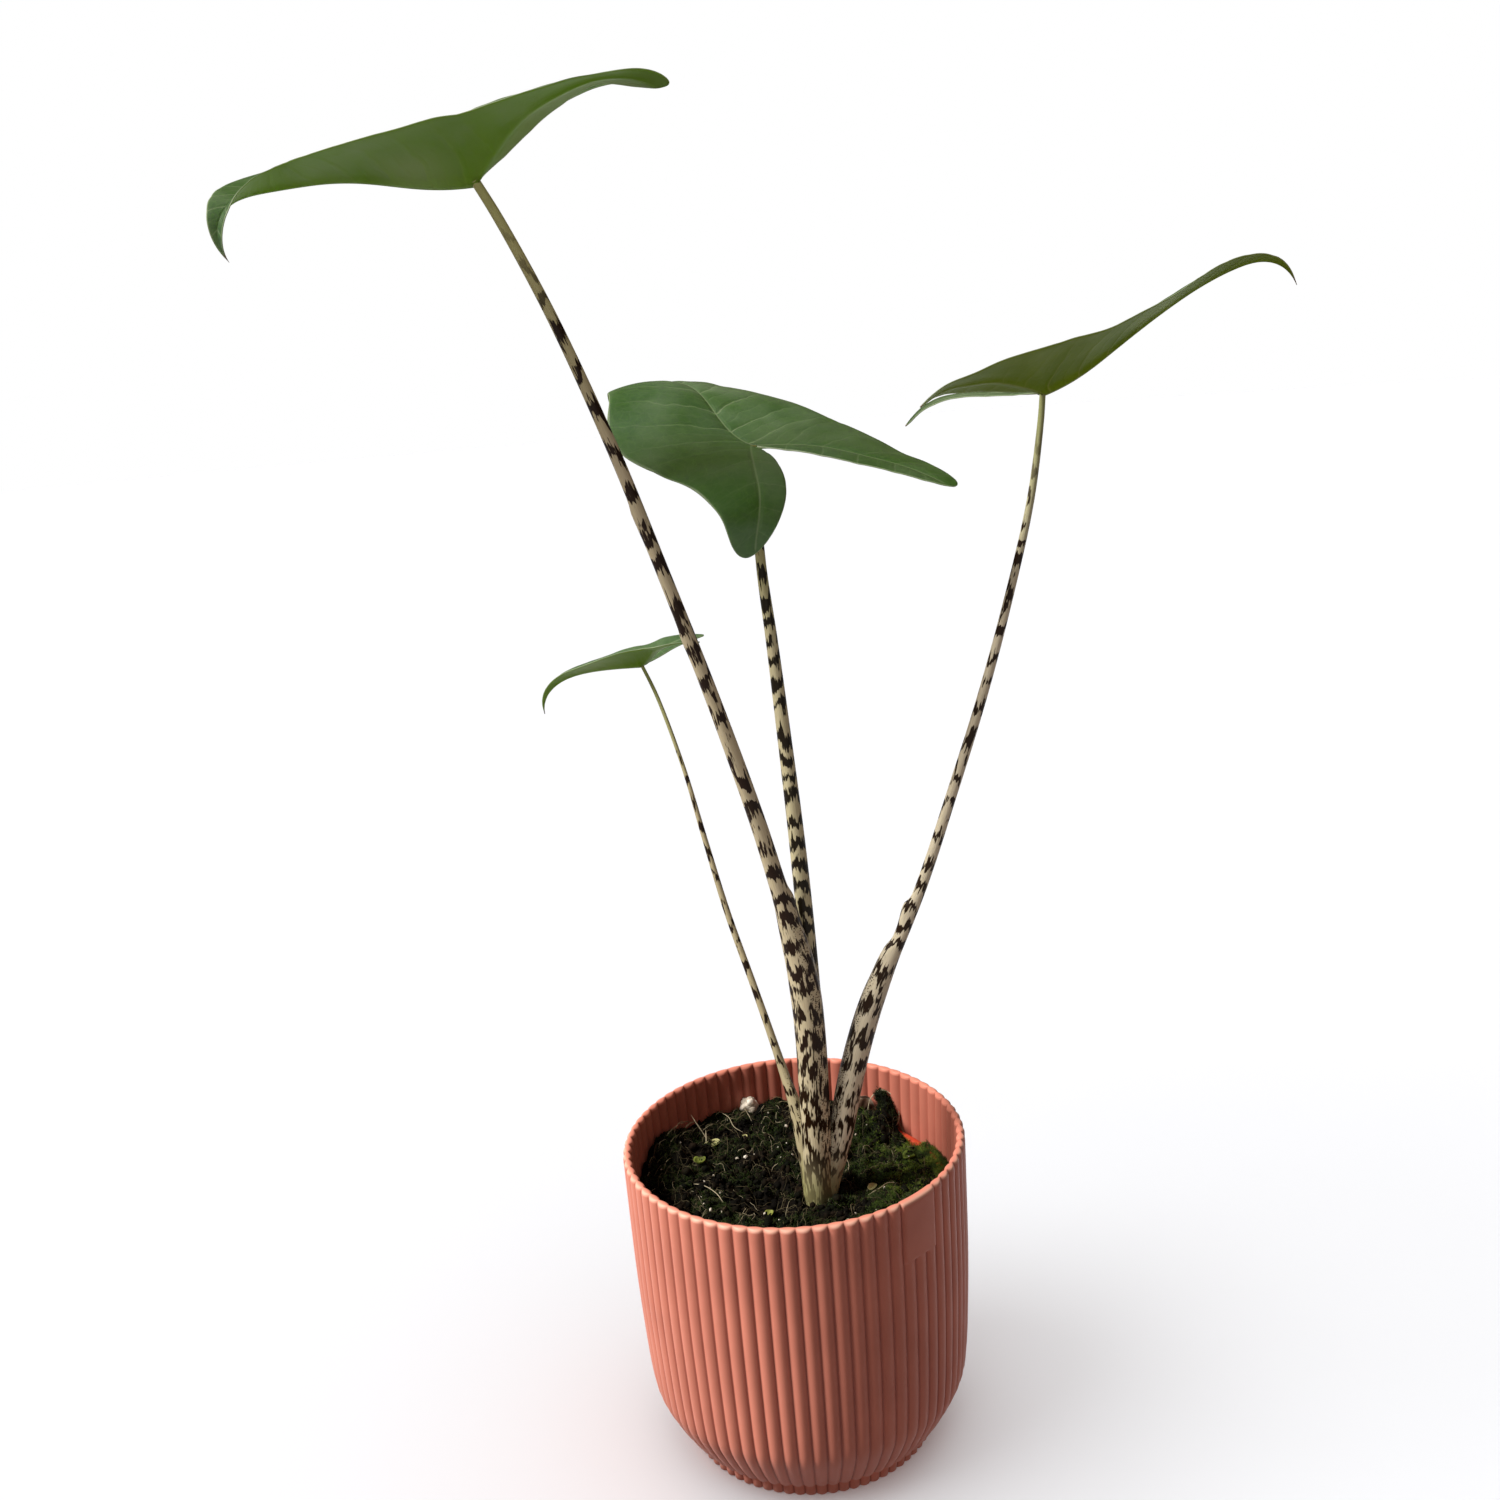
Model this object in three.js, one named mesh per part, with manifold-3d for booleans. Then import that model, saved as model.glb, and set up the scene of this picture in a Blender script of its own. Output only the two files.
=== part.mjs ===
// Alocasia zebrina in a ribbed cover pot, in millimetres, +Z up.
//
// The origin is on the axis of the cover pot, on the face that it stands on. Seen from the
// front (looking along +Y), leaf A leans left, leaf B stands upright, leaf C leans right
// and the small leaf D stands behind leaf A. Each leaf is a blade on a petiole, and the
// feet of the petioles clasp each other as sheaths on a corm in the soil.
import * as THREE from 'three';
import { mergeVertices } from 'three/addons/utils/BufferGeometryUtils.js';
import Module from 'manifold-3d';

const wasm = await Module();
wasm.setup();

// ---------------------------------------------------------------- driving dimensions
const GAP = 0.3; // clearance between pieces that bear on each other

// Cover pot: a chain of upright lens-shaped ribs all round, inside and outside.
const POT_HEIGHT = 129;
const RIB_COUNT = 72;
const RIB_PHASE = -2; // degrees, where one crease stands
const RIB_DEPTH = 1.0; // crown to crease, on each face of the wall
const RIB_STEPS = [[0, 1], [0.28, 0.18], [0.72, 0.18]]; // [share of the pitch, share of the depth]
const POT_OUTSIDE = [ // [height, radius at the rib crowns]
  [0, 51.3], [5.6, 52.5], [7, 54.7], [16, 60.3], [28, 65.2], [48, 66.9], [84, 68.4],
  [127.7, 69], [129, 67.9],
];
const POT_INSIDE = [ // [height, radius at the rib crowns], from the rim down
  [129, 66.3], [127.7, 65.2], [28, 61.3], [13, 54.2], [4, 48.5],
];
const PLAIN_BELOW = 13; // inside faces lower than this have no ribs
// Bare label panel: three ribs wide, with the creases filled from the rim down.
const PANEL_FROM = -57;
const PANEL_TO = -42;
const PANEL_FOOT = 104;
const PANEL_OUTSIDE = 69.06;
const PANEL_INSIDE = 65.14;

// Nursery pot, standing on the floor of the cover pot.
const NURSERY_SIDES = 40;
const NURSERY_WALL = 1.1;
const NURSERY_FLOOR = 4 + GAP;
const NURSERY_OUTSIDE = [[NURSERY_FLOOR, 44], [97, 60.4], [97.6, 62], [104, 62.4]];
const DRAIN_COUNT = 8;
const DRAIN_DIAMETER = 9;
const DRAIN_CIRCLE = 30;

// Soil: a lumpy top round the stalk, heaped over the nursery rim except on the right.
const SOIL_SIDES = 48;
const SOIL_RINGS = 7;
const SOIL_EDGE = 64.3;
const SOIL_EDGE_RIGHT = 59;
const SOIL_RIGHT = 18; // degrees, the middle of the side where the nursery rim shows
const SOIL_HEAP_FROM = 26; // degrees either side of it, where the soil starts to rise
const SOIL_HEAP_TO = 58; // and where it is heaped over the rim
const SOIL_AT_STALK = 103.4;
const SOIL_AT_EDGE = 110.6;
const SOIL_BY_RIM = 103.2;
const SOIL_LUMP = 1.5; // most that a point of the top lies above or below the bed
const SOIL_SEED = 7;
const MOUNDS = [
  { x: 41, y: 41, height: 10, spread: 6.5 }, // the stub that stands up at the back
  { x: -54, y: 29, height: 6, spread: 13 }, // crumbs pushed up against the wall on the left
];

// Corm, with the stalk of clasped petioles on top of it.
const STALK = { x: 9.4, y: -3.6, hole: 8.3 }; // hole: radius of the opening in the soil
const CORM = [[57, 0], [59, 6.5], [66, 11.6], [76, 13.4], [87, 11], [92, 7.6], [92, 0]]; // [height, radius]
const CORM_SIDES = 20;
const CORM_TOP = 92;

// Petioles: stations [x, y, height, radius], from the foot to the blade.
const PETIOLE_SIDES = 12;
const PETIOLE_STEPS = 26;
const PETIOLES = {
  b: [
    [10.2, -1.9, 92.3, 3.1], [10.5, -2, 104, 3.3], [11.3, -1.6, 150, 3.5], [11.7, -0.8, 185, 3.4],
    [11.4, 0.8, 208, 3.35], [10.8, 2.9, 230, 3.3], [9.9, 6.3, 256, 3.1], [8.1, 11.5, 293, 2.7],
    [6.1, 16.7, 329.5, 2.3], [4.3, 20.5, 357, 1.95], [4.2, 24.9, 399.8, 1.6],
  ],
  a: [
    [8.6, -4.2, 92.3, 5.2], [8.7, -4.2, 104, 5.5], [9.6, -4, 150, 6], [9.75, -4, 172, 6.05],
    [9.2, -4, 189, 6.05], [7.6, -4.2, 205, 5.6], [5.2, -4.6, 218, 4.7], [2.9, -5.2, 230, 3.7],
    [0.8, -5.8, 240, 3.35], [-4.7, -7, 264.7, 3.1], [-17.3, -9.7, 312.7, 2.75],
    [-31.5, -12.7, 362, 2.4], [-44.5, -15.5, 405.3, 2.2], [-60.8, -18.9, 451.6, 1.9],
    [-74.3, -21.8, 483, 1.7], [-80, -23.3, 494.3, 1.6],
  ],
  c: [
    [11.9, -3.2, 92.3, 4.2], [12.5, -3.2, 104, 4.2], [18.4, -2.7, 126, 4.8], [24, -1.8, 150, 5.1],
    [29.3, -0.9, 168.4, 5], [35.2, 0.1, 184.7, 4.7], [42.8, 1.3, 200.6, 3.45], [47.1, 2, 208.4, 2.7],
    [54.7, 3.2, 224, 2.3], [61.3, 4.2, 240, 2.2], [69.8, 5.5, 262.8, 2.1], [83.6, 7.7, 300.7, 1.9],
    [95.4, 9.6, 338, 1.65], [105.1, 11.1, 374.2, 1.4], [109.8, 11.9, 402.7, 1.2],
    [110.7, 11.8, 412.2, 1.1],
  ],
  d: [
    [6.4, -1.4, 92.3, 3.4], [6.2, -1.2, 104, 3.7], [4.6, 0, 124, 3.5], [1.4, 2.4, 142, 2.5],
    [-1.5, 4.8, 153, 1.9], [-6, 8.1, 170.6, 1.55], [-11.3, 12.2, 190.1, 1.4],
    [-19.4, 18.6, 219.2, 1.3], [-25.9, 23.7, 248.4, 1.1], [-32.1, 28.5, 277.5, 0.85],
    [-40.4, 35, 306, 0.75], [-45.2, 39.8, 317, 0.7],
  ],
};
const CLASP_ORDER = ['b', 'a', 'c', 'd']; // each one is cut clear of those before it

// Blades. Angles are in degrees and are read along the midrib from the petiole (0) to the
// tip (1), at STATIONS, and along each basal lobe back from the petiole, at its middle and
// its end. left and right are as seen from above, looking from the petiole to the tip.
const STATIONS = [0, 0.25, 0.5, 0.75, 1];
const BLADE_THICKNESS = 0.7;
const RIDGE = { height: 1.0, width: 2.2 }; // the midrib under the blade
const ROWS_BACK = 9;
const ROWS_FRONT = 16;
const COLUMNS = [0, 0.08, 0.3, 0.54, 0.78, 1];
const BLADES = {
  a: {
    junction: [-80.4, -23.4, 495.2], heading: 185, front: 106.9, halfWidth: 37.3,
    power: 1.37, shoulder: 0.89,
    pitch: [-5.2, 9.3, -5.3, -17.4, -127.2], yaw: [0, -3.2, 5.9, 65.1, 32.5],
    roll: [-4, -0.8, -0.8, 12.4, -60.7],
    left: {
      lobe: 52.5, spread: 47.8, taper: 0.4, pitch: [-22.5, 27.2], yaw: [5.6, 9], roll: [-4, 2.4],
      fold: [25.4, 37.7, 19.5, 29.7], droop: 18.8,
    },
    right: {
      lobe: 53.9, spread: 48.5, taper: 0.46, pitch: [-18.2, 6.9], yaw: [1.7, 0.2], roll: [-4.1, -8.3],
      fold: [30.3, 42.9, 29.6, 22.6], droop: 10.5,
    },
  },
  b: {
    junction: [4.3, 25, 401], heading: 130.8, front: 106.7, halfWidth: 47.8,
    power: 1.26, shoulder: 1.03,
    pitch: [14.7, 39.1, 6.8, -36, -48.7], yaw: [0, -10, -0.7, 2.1, -11.2],
    roll: [-3.1, -0.7, 2.2, -2.8, 0],
    left: {
      lobe: 63.8, spread: 40.6, taper: 0.38, pitch: [29.2, 73.1], yaw: [2.2, -13.4], roll: [-0.6, 3.1],
      fold: [2.2, 15, 2.3, 14.6], droop: 30.3,
    },
    right: {
      lobe: 74.2, spread: 28.1, taper: 0.31, pitch: [14.9, 24.8], yaw: [1, -1.9], roll: [1.5, -2],
      fold: [10.7, 14.5, -0.4, 16.2], droop: 20.9,
    },
  },
  c: {
    junction: [110.8, 11.8, 413], heading: 6.8, front: 110.6, halfWidth: 38.1,
    power: 1.43, shoulder: 1.03,
    pitch: [16.6, 33.1, 29.5, 17.5, -65.4], yaw: [0, 0.3, 1.8, -7, 10.2],
    roll: [-3.4, -2.6, -3, -1.6, 15],
    left: {
      lobe: 45.6, spread: 33.1, taper: 0.4, pitch: [2.7, 38.9], yaw: [0.3, 0], roll: [-3.1, -9.2],
      fold: [18.6, 19.2, 4.1, 27], droop: 22,
    },
    right: {
      lobe: 56.4, spread: 40, taper: 0.35, pitch: [5.9, 28.8], yaw: [-6.2, 9], roll: [-3.4, -12.1],
      fold: [12, 28.7, 16.1, 24.4], droop: 8.7,
    },
  },
  d: {
    junction: [-45.7, 40.3, 318.1], heading: 179.9, front: 49.5, halfWidth: 13.8,
    power: 1.37, shoulder: 1.05,
    pitch: [0.4, -2.4, -11, -39.2, -98.5], yaw: [0, -0.5, 0.4, -0.1, -0.4],
    roll: [1.6, 1.7, 0.1, -0.7, 0.5],
    left: {
      lobe: 20.5, spread: 18.9, taper: 0.45, pitch: [-23.1, 9.1], yaw: [-3.3, 11.4], roll: [1.3, 7.8],
      fold: [25.1, 43.6, 30, 46], droop: 16.9,
    },
    right: {
      lobe: 25.4, spread: 14.4, taper: 0.4, pitch: [-8.3, -2.9], yaw: [2, -1.7], roll: [-7.3, -4.9],
      fold: [22.9, 30.8, 15.1, 34.4], droop: 13,
    },
  },
};

const FINISHES = {
  pot: { color: 0xd98a78, roughness: 0.55, metalness: 0 },
  nursery: { color: 0xb8442c, roughness: 0.6, metalness: 0 },
  soil: { color: 0x17140f, roughness: 0.95, metalness: 0 },
  corm: { color: 0x5a4630, roughness: 0.9, metalness: 0 },
  petiole: { color: 0x9a9070, roughness: 0.55, metalness: 0 },
  blade: { color: 0x41612a, roughness: 0.45, metalness: 0 },
};

// ---------------------------------------------------------------- general helpers
const radians = (degrees) => THREE.MathUtils.degToRad(degrees);
const clamp = THREE.MathUtils.clamp;

// A repeatable draw of values between 0 and 1, for the lumps of the soil.
function draw(seed) {
  let state = seed;
  return () => {
    state = (state * 16807) % 2147483647;
    return state / 2147483647;
  };
}

// A closed mesh from points and triangles; triangles that have shrunk to a line are left out.
function meshFrom(points, triangles) {
  const geometry = new THREE.BufferGeometry();
  geometry.setAttribute('position', new THREE.Float32BufferAttribute(points.flat(), 3));
  geometry.setIndex(triangles.flat());
  const merged = mergeVertices(geometry, 1e-4);
  const index = merged.getIndex().array;
  const kept = [];
  for (let i = 0; i < index.length; i += 3) {
    const [a, b, c] = [index[i], index[i + 1], index[i + 2]];
    if (a !== b && b !== c && c !== a) kept.push(a, b, c);
  }
  merged.setIndex(kept);
  return merged;
}

// Rings of equal point count, joined in turn, with each end closed to a centre point.
function loft(rings, first, last) {
  const count = rings[0].length;
  const points = [first, ...rings.flat(), last];
  const triangles = [];
  for (let i = 0; i < count; i += 1) {
    const j = (i + 1) % count;
    triangles.push([0, 1 + j, 1 + i]);
    for (let r = 0; r + 1 < rings.length; r += 1) {
      const low = 1 + r * count;
      const high = low + count;
      triangles.push([low + i, low + j, high + j], [low + i, high + j, high + i]);
    }
    const top = 1 + (rings.length - 1) * count;
    triangles.push([top + i, top + j, points.length - 1]);
  }
  return meshFrom(points, triangles);
}

function circle(radius, height, sides, centre = [0, 0]) {
  const ring = [];
  for (let i = 0; i < sides; i += 1) {
    const angle = (2 * Math.PI * i) / sides;
    ring.push([centre[0] + radius * Math.cos(angle), centre[1] + radius * Math.sin(angle), height]);
  }
  return ring;
}

function toManifold(geometry) {
  return new wasm.Manifold(new wasm.Mesh({
    numProp: 3,
    vertProperties: Float32Array.from(geometry.getAttribute('position').array),
    triVerts: Uint32Array.from(geometry.getIndex().array),
  }));
}

function fromManifold(solid) {
  const mesh = solid.getMesh();
  const geometry = new THREE.BufferGeometry();
  geometry.setAttribute('position', new THREE.Float32BufferAttribute(mesh.vertProperties, 3));
  geometry.setIndex([...mesh.triVerts]);
  return geometry;
}

// Of a cut that falls into pieces, the largest is kept.
function largest(solid) {
  const pieces = solid.decompose();
  return pieces.reduce((best, piece) => (piece.volume() > best.volume() ? piece : best));
}

function cut(solid, tools) {
  return largest(tools.reduce((rest, tool) => rest.subtract(tool), solid));
}

// Smooth curve through (xs, ys) that never swings past its points.
function smooth(x, xs, ys, lastSlope) {
  const n = xs.length;
  const slopes = [];
  for (let i = 0; i + 1 < n; i += 1) slopes.push((ys[i + 1] - ys[i]) / (xs[i + 1] - xs[i]));
  const tangents = [slopes[0]];
  for (let i = 1; i + 1 < n; i += 1) {
    const [a, b] = [slopes[i - 1], slopes[i]];
    tangents.push(a * b <= 0 ? 0 : (2 * a * b) / (a + b));
  }
  tangents.push(lastSlope === undefined ? slopes[n - 2] : lastSlope);
  let k = 0;
  while (k < n - 2 && x > xs[k + 1]) k += 1;
  const h = xs[k + 1] - xs[k];
  const t = (x - xs[k]) / h;
  return (2 * t ** 3 - 3 * t ** 2 + 1) * ys[k] + (t ** 3 - 2 * t ** 2 + t) * h * tangents[k]
    + (3 * t ** 2 - 2 * t ** 3) * ys[k + 1] + (t ** 3 - t ** 2) * h * tangents[k + 1];
}

// ---------------------------------------------------------------- cover pot
// One ring of the ribbed wall. side is +1 for ribs that swell outwards, -1 for inwards.
function ribbedRing(radius, height, side, depth) {
  const ring = [];
  for (let rib = 0; rib < RIB_COUNT; rib += 1) {
    for (const [share, dip] of RIB_STEPS) {
      const angle = radians(RIB_PHASE + ((rib + share) * 360) / RIB_COUNT);
      const r = radius - side * depth * dip;
      ring.push([r * Math.cos(angle), r * Math.sin(angle), height]);
    }
  }
  return ring;
}

// A piece of tube wall between two angles, with its top edges rounded off like the rim.
function labelPanel() {
  const edge = 0.9;
  const top = POT_HEIGHT;
  const outline = [
    [PANEL_OUTSIDE, PANEL_FOOT], [PANEL_OUTSIDE, top - 1.3], [PANEL_OUTSIDE - edge - 0.2, top],
    [PANEL_INSIDE + edge + 0.2, top], [PANEL_INSIDE, top - 1.3], [PANEL_INSIDE, PANEL_FOOT],
  ];
  const steps = 8;
  const rings = [];
  for (let i = 0; i <= steps; i += 1) {
    const angle = radians(PANEL_FROM + 0.5 + ((PANEL_TO - PANEL_FROM - 1) * i) / steps);
    rings.push(outline.map(([r, z]) => [r * Math.cos(angle), r * Math.sin(angle), z]));
  }
  const middle = (ring) => [0, 1, 2].map((k) => ring.reduce((sum, p) => sum + p[k], 0) / ring.length);
  const reversed = rings.map((ring) => [...ring].reverse());
  return loft(reversed, middle(reversed[0]), middle(reversed[steps]));
}

function coverPot() {
  const rings = POT_OUTSIDE.map(([height, radius]) => ribbedRing(radius, height, 1, RIB_DEPTH));
  for (const [height, radius] of POT_INSIDE) {
    rings.push(ribbedRing(radius, height, -1, height > PLAIN_BELOW ? RIB_DEPTH : 0));
  }
  const floor = POT_INSIDE[POT_INSIDE.length - 1][0];
  const wall = loft(rings, [0, 0, 0], [0, 0, floor]);
  return fromManifold(toManifold(wall).add(toManifold(labelPanel())));
}

// ---------------------------------------------------------------- nursery pot
function nurseryInside(height) {
  const [foot, shoulder] = NURSERY_OUTSIDE;
  const share = (height - foot[0]) / (shoulder[0] - foot[0]);
  return THREE.MathUtils.lerp(foot[1], shoulder[1], share) - NURSERY_WALL;
}

function nurseryPot() {
  const rings = NURSERY_OUTSIDE.map(([height, radius]) => circle(radius, height, NURSERY_SIDES));
  const rim = NURSERY_OUTSIDE[NURSERY_OUTSIDE.length - 1][0];
  const floor = NURSERY_FLOOR + NURSERY_WALL;
  rings.push(circle(nurseryInside(98.2), rim, NURSERY_SIDES));
  rings.push(circle(nurseryInside(98), 98, NURSERY_SIDES));
  rings.push(circle(nurseryInside(floor), floor, NURSERY_SIDES));
  let pot = toManifold(loft(rings, [0, 0, NURSERY_FLOOR], [0, 0, floor]));
  for (let i = 0; i < DRAIN_COUNT; i += 1) {
    const angle = (2 * Math.PI * i) / DRAIN_COUNT;
    const centre = [DRAIN_CIRCLE * Math.cos(angle), DRAIN_CIRCLE * Math.sin(angle)];
    const low = circle(DRAIN_DIAMETER / 2, NURSERY_FLOOR - 1, 16, centre);
    const high = circle(DRAIN_DIAMETER / 2, floor + 1, 16, centre);
    const drill = loft([low, high], [...centre, NURSERY_FLOOR - 1], [...centre, floor + 1]);
    pot = pot.subtract(toManifold(drill));
  }
  return fromManifold(pot);
}

// ---------------------------------------------------------------- soil and corm
// How far the soil is heaped up at an angle: 1 all round, 0 on the right.
function heap(angle) {
  const away = Math.acos(Math.cos(angle - radians(SOIL_RIGHT)));
  return clamp((away - radians(SOIL_HEAP_FROM)) / radians(SOIL_HEAP_TO - SOIL_HEAP_FROM), 0, 1);
}

// The soil's edge, which reaches over the nursery rim only where it has risen above it.
function soilEdge(angle) {
  return THREE.MathUtils.lerp(SOIL_EDGE_RIGHT, SOIL_EDGE, clamp(2 * heap(angle) - 1, 0, 1));
}

function soilHeight(x, y, share, angle) {
  const edge = THREE.MathUtils.lerp(SOIL_BY_RIM, SOIL_AT_EDGE, clamp(3 * heap(angle), 0, 1));
  const bed = THREE.MathUtils.lerp(SOIL_AT_STALK, edge, share ** 1.4);
  return MOUNDS.reduce((height, mound) => {
    const distance = Math.hypot(x - mound.x, y - mound.y);
    return height + mound.height * Math.exp(-((distance / mound.spread) ** 2));
  }, bed);
}

function soil() {
  const random = draw(SOIL_SEED);
  const rings = [];
  const place = (radius, height) => circle(radius, height, SOIL_SIDES, [STALK.x, STALK.y]);
  for (const [height, radius] of CORM) {
    if (radius > 0) rings.push(place(radius + GAP, Math.min(height, CORM_TOP - 1) - GAP));
  }
  rings[rings.length - 1] = place(STALK.hole, CORM_TOP + 0.5);
  for (let k = 0; k <= SOIL_RINGS; k += 1) {
    const share = k / SOIL_RINGS;
    const ring = [];
    for (let i = 0; i < SOIL_SIDES; i += 1) {
      const angle = (2 * Math.PI * i) / SOIL_SIDES;
      const radius = THREE.MathUtils.lerp(STALK.hole, soilEdge(angle), share);
      const x = STALK.x * (1 - share) + radius * Math.cos(angle);
      const y = STALK.y * (1 - share) + radius * Math.sin(angle);
      const lump = k === 0 || k === SOIL_RINGS ? 0 : SOIL_LUMP * (2 * random() - 1);
      ring.push([x, y, soilHeight(x, y, share, angle) + lump]);
    }
    rings.push(ring);
  }
  const rim = NURSERY_OUTSIDE[NURSERY_OUTSIDE.length - 1][0];
  const skirt = (reach, drop) => {
    const ring = [];
    for (let i = 0; i < SOIL_SIDES; i += 1) {
      const angle = (2 * Math.PI * i) / SOIL_SIDES;
      const radius = THREE.MathUtils.lerp(SOIL_EDGE_RIGHT - 0.2, soilEdge(angle), reach);
      const height = THREE.MathUtils.lerp(SOIL_BY_RIM - 1, rim + 0.5, clamp(4 * heap(angle), 0, 1));
      ring.push([radius * Math.cos(angle), radius * Math.sin(angle), height - drop]);
    }
    return ring;
  };
  rings.push(skirt(1, 0));
  rings.push(skirt(0, 0.1));
  const chord = 1 / Math.cos(Math.PI / NURSERY_SIDES);
  const wall = (height) => circle((nurseryInside(height) - GAP) / chord, height, SOIL_SIDES);
  const floor = NURSERY_FLOOR + NURSERY_WALL + GAP;
  rings.push(wall(98));
  rings.push(wall(floor));
  // The rings run from the bottom of the corm's bed, up and out, and down to the pot's floor.
  return loft([...rings].reverse(), [0, 0, floor], [STALK.x, STALK.y, CORM[0][0] - GAP]);
}

function corm() {
  const profile = CORM.filter(([, radius]) => radius > 0);
  const rings = profile.map(([height, radius]) => circle(radius, height, CORM_SIDES, [STALK.x, STALK.y]));
  return loft(rings, [STALK.x, STALK.y, CORM[0][0]], [STALK.x, STALK.y, CORM_TOP]);
}

// ---------------------------------------------------------------- petioles
function petiole(stations, extra) {
  const places = stations.map(([x, y, z]) => new THREE.Vector3(x, y, z));
  const curve = new THREE.CatmullRomCurve3(places, false, 'centripetal');
  const rings = [];
  const across = new THREE.Vector3(1, 0, 0);
  for (let k = 0; k <= PETIOLE_STEPS; k += 1) {
    const t = k / PETIOLE_STEPS;
    const along = t * (stations.length - 1);
    const station = Math.min(Math.floor(along), stations.length - 2);
    const [thick, thin] = [stations[station][3], stations[station + 1][3]];
    const radius = extra + THREE.MathUtils.lerp(thick, thin, along - station);
    const centre = curve.getPoint(t);
    const tangent = curve.getTangent(t);
    const side = across.clone().addScaledVector(tangent, -across.dot(tangent)).normalize();
    const front = tangent.clone().cross(side);
    const ring = [];
    for (let i = 0; i < PETIOLE_SIDES; i += 1) {
      const angle = (2 * Math.PI * i) / PETIOLE_SIDES;
      const point = centre.clone().addScaledVector(side, radius * Math.cos(angle));
      ring.push(point.addScaledVector(front, radius * Math.sin(angle)).toArray());
    }
    rings.push(ring);
  }
  return loft(rings, curve.getPoint(0).toArray(), curve.getPoint(1).toArray());
}

// ---------------------------------------------------------------- blades
// Flat outline of one half at u: -1 at the end of the lobe, 0 at the petiole, 1 at the tip.
function outline(leaf, half, u) {
  if (u >= 0) {
    const outer = leaf.halfWidth * (1 - u) ** leaf.power * (1 + leaf.shoulder * u);
    return { x: u * leaf.front, inner: 0, outer };
  }
  const back = -u;
  const middle = 0.5 * leaf.halfWidth * (1 - back) + half.spread * back;
  const breadth = 0.5 * leaf.halfWidth * Math.sqrt(1 - back * back) * (1 - half.taper * back);
  return { x: u * half.lobe, inner: middle - breadth, outer: middle + breadth };
}

// One angle of the blade's spine at u, in radians.
function spineAngle(leaf, half, name, u) {
  if (u >= 0) return radians(smooth(u, STATIONS, leaf[name]));
  const slope = ((leaf[name][1] - leaf[name][0]) / (STATIONS[1] - STATIONS[0])) * (half.lobe / leaf.front);
  return radians(smooth(u, [-1, -0.5, 0], [half[name][1], half[name][0], leaf[name][0]], slope));
}

function spineFrame(leaf, half, u) {
  const pitch = spineAngle(leaf, half, 'pitch', u);
  const yaw = spineAngle(leaf, half, 'yaw', u) + radians(leaf.heading);
  const roll = spineAngle(leaf, half, 'roll', u);
  const along = new THREE.Vector3(
    Math.cos(pitch) * Math.cos(yaw),
    Math.cos(pitch) * Math.sin(yaw),
    Math.sin(pitch),
  );
  const level = new THREE.Vector3(-Math.sin(yaw), Math.cos(yaw), 0);
  const upright = along.clone().cross(level);
  const across = level.clone().multiplyScalar(Math.cos(roll)).addScaledVector(upright, Math.sin(roll));
  const normal = along.clone().cross(across);
  return { along, across, normal };
}

// The spine's place at u, summed in short steps from the junction.
function spinePoint(leaf, half, u) {
  const length = u >= 0 ? leaf.front : half.lobe;
  const steps = 48;
  const point = new THREE.Vector3(...leaf.junction);
  for (let i = 0; i < steps; i += 1) {
    const { along } = spineFrame(leaf, half, (u * (i + 0.5)) / steps);
    point.addScaledVector(along, (u * length) / steps);
  }
  return point;
}

// Rows of points over one half, from the end of the lobe to the tip.
function halfRows(leaf, half, side) {
  const rows = [];
  for (let k = -ROWS_BACK; k <= ROWS_FRONT; k += 1) {
    const u = k < 0 ? -Math.sin((-k / ROWS_BACK) * (Math.PI / 2)) : k / ROWS_FRONT;
    const { x, inner, outer } = outline(leaf, half, u);
    const { across, normal } = spineFrame(leaf, half, u);
    const spine = spinePoint(leaf, half, u);
    const fold = radians(smooth(x, [-half.lobe, 0, 0.5 * leaf.front, leaf.front], half.fold));
    const bend = radians(half.droop) / leaf.halfWidth;
    rows.push(COLUMNS.map((share) => {
      const y = inner + (outer - inner) * share;
      const out = (Math.sin(fold) - Math.sin(fold - bend * y)) / bend;
      const lift = (Math.cos(fold - bend * y) - Math.cos(fold)) / bend;
      const point = spine.clone().addScaledVector(across, side * out).addScaledVector(normal, lift);
      const ridge = Math.exp(-((y / RIDGE.width) ** 2)) * RIDGE.height * clamp(1 - u, 0, 1);
      return { point, ridge: u < -0.3 ? 0 : ridge * clamp(1 + u / 0.3, 0, 1) };
    }));
  }
  return rows;
}

// A blade: the middle surface of both halves, thickened along its normals. extra thickens
// it further on both faces, as a tool that clears the petiole below.
function blade(leaf, extra) {
  const points = [];
  const ridges = [];
  const triangles = [];
  for (const [name, side] of [['left', 1], ['right', -1]]) {
    const rows = halfRows(leaf, leaf[name], side);
    const first = points.length;
    const width = COLUMNS.length;
    for (const node of rows.flat()) {
      points.push(node.point.toArray());
      ridges.push(node.ridge);
    }
    for (let r = 0; r + 1 < rows.length; r += 1) {
      for (let c = 0; c + 1 < width; c += 1) {
        const a = first + r * width + c;
        const [b, d, e] = [a + 1, a + width, a + width + 1];
        if (side > 0) triangles.push([a, d, e], [a, e, b]);
        else triangles.push([a, e, d], [a, b, e]);
      }
    }
  }
  return thicken(points, triangles, ridges, BLADE_THICKNESS / 2 + extra);
}

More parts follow.
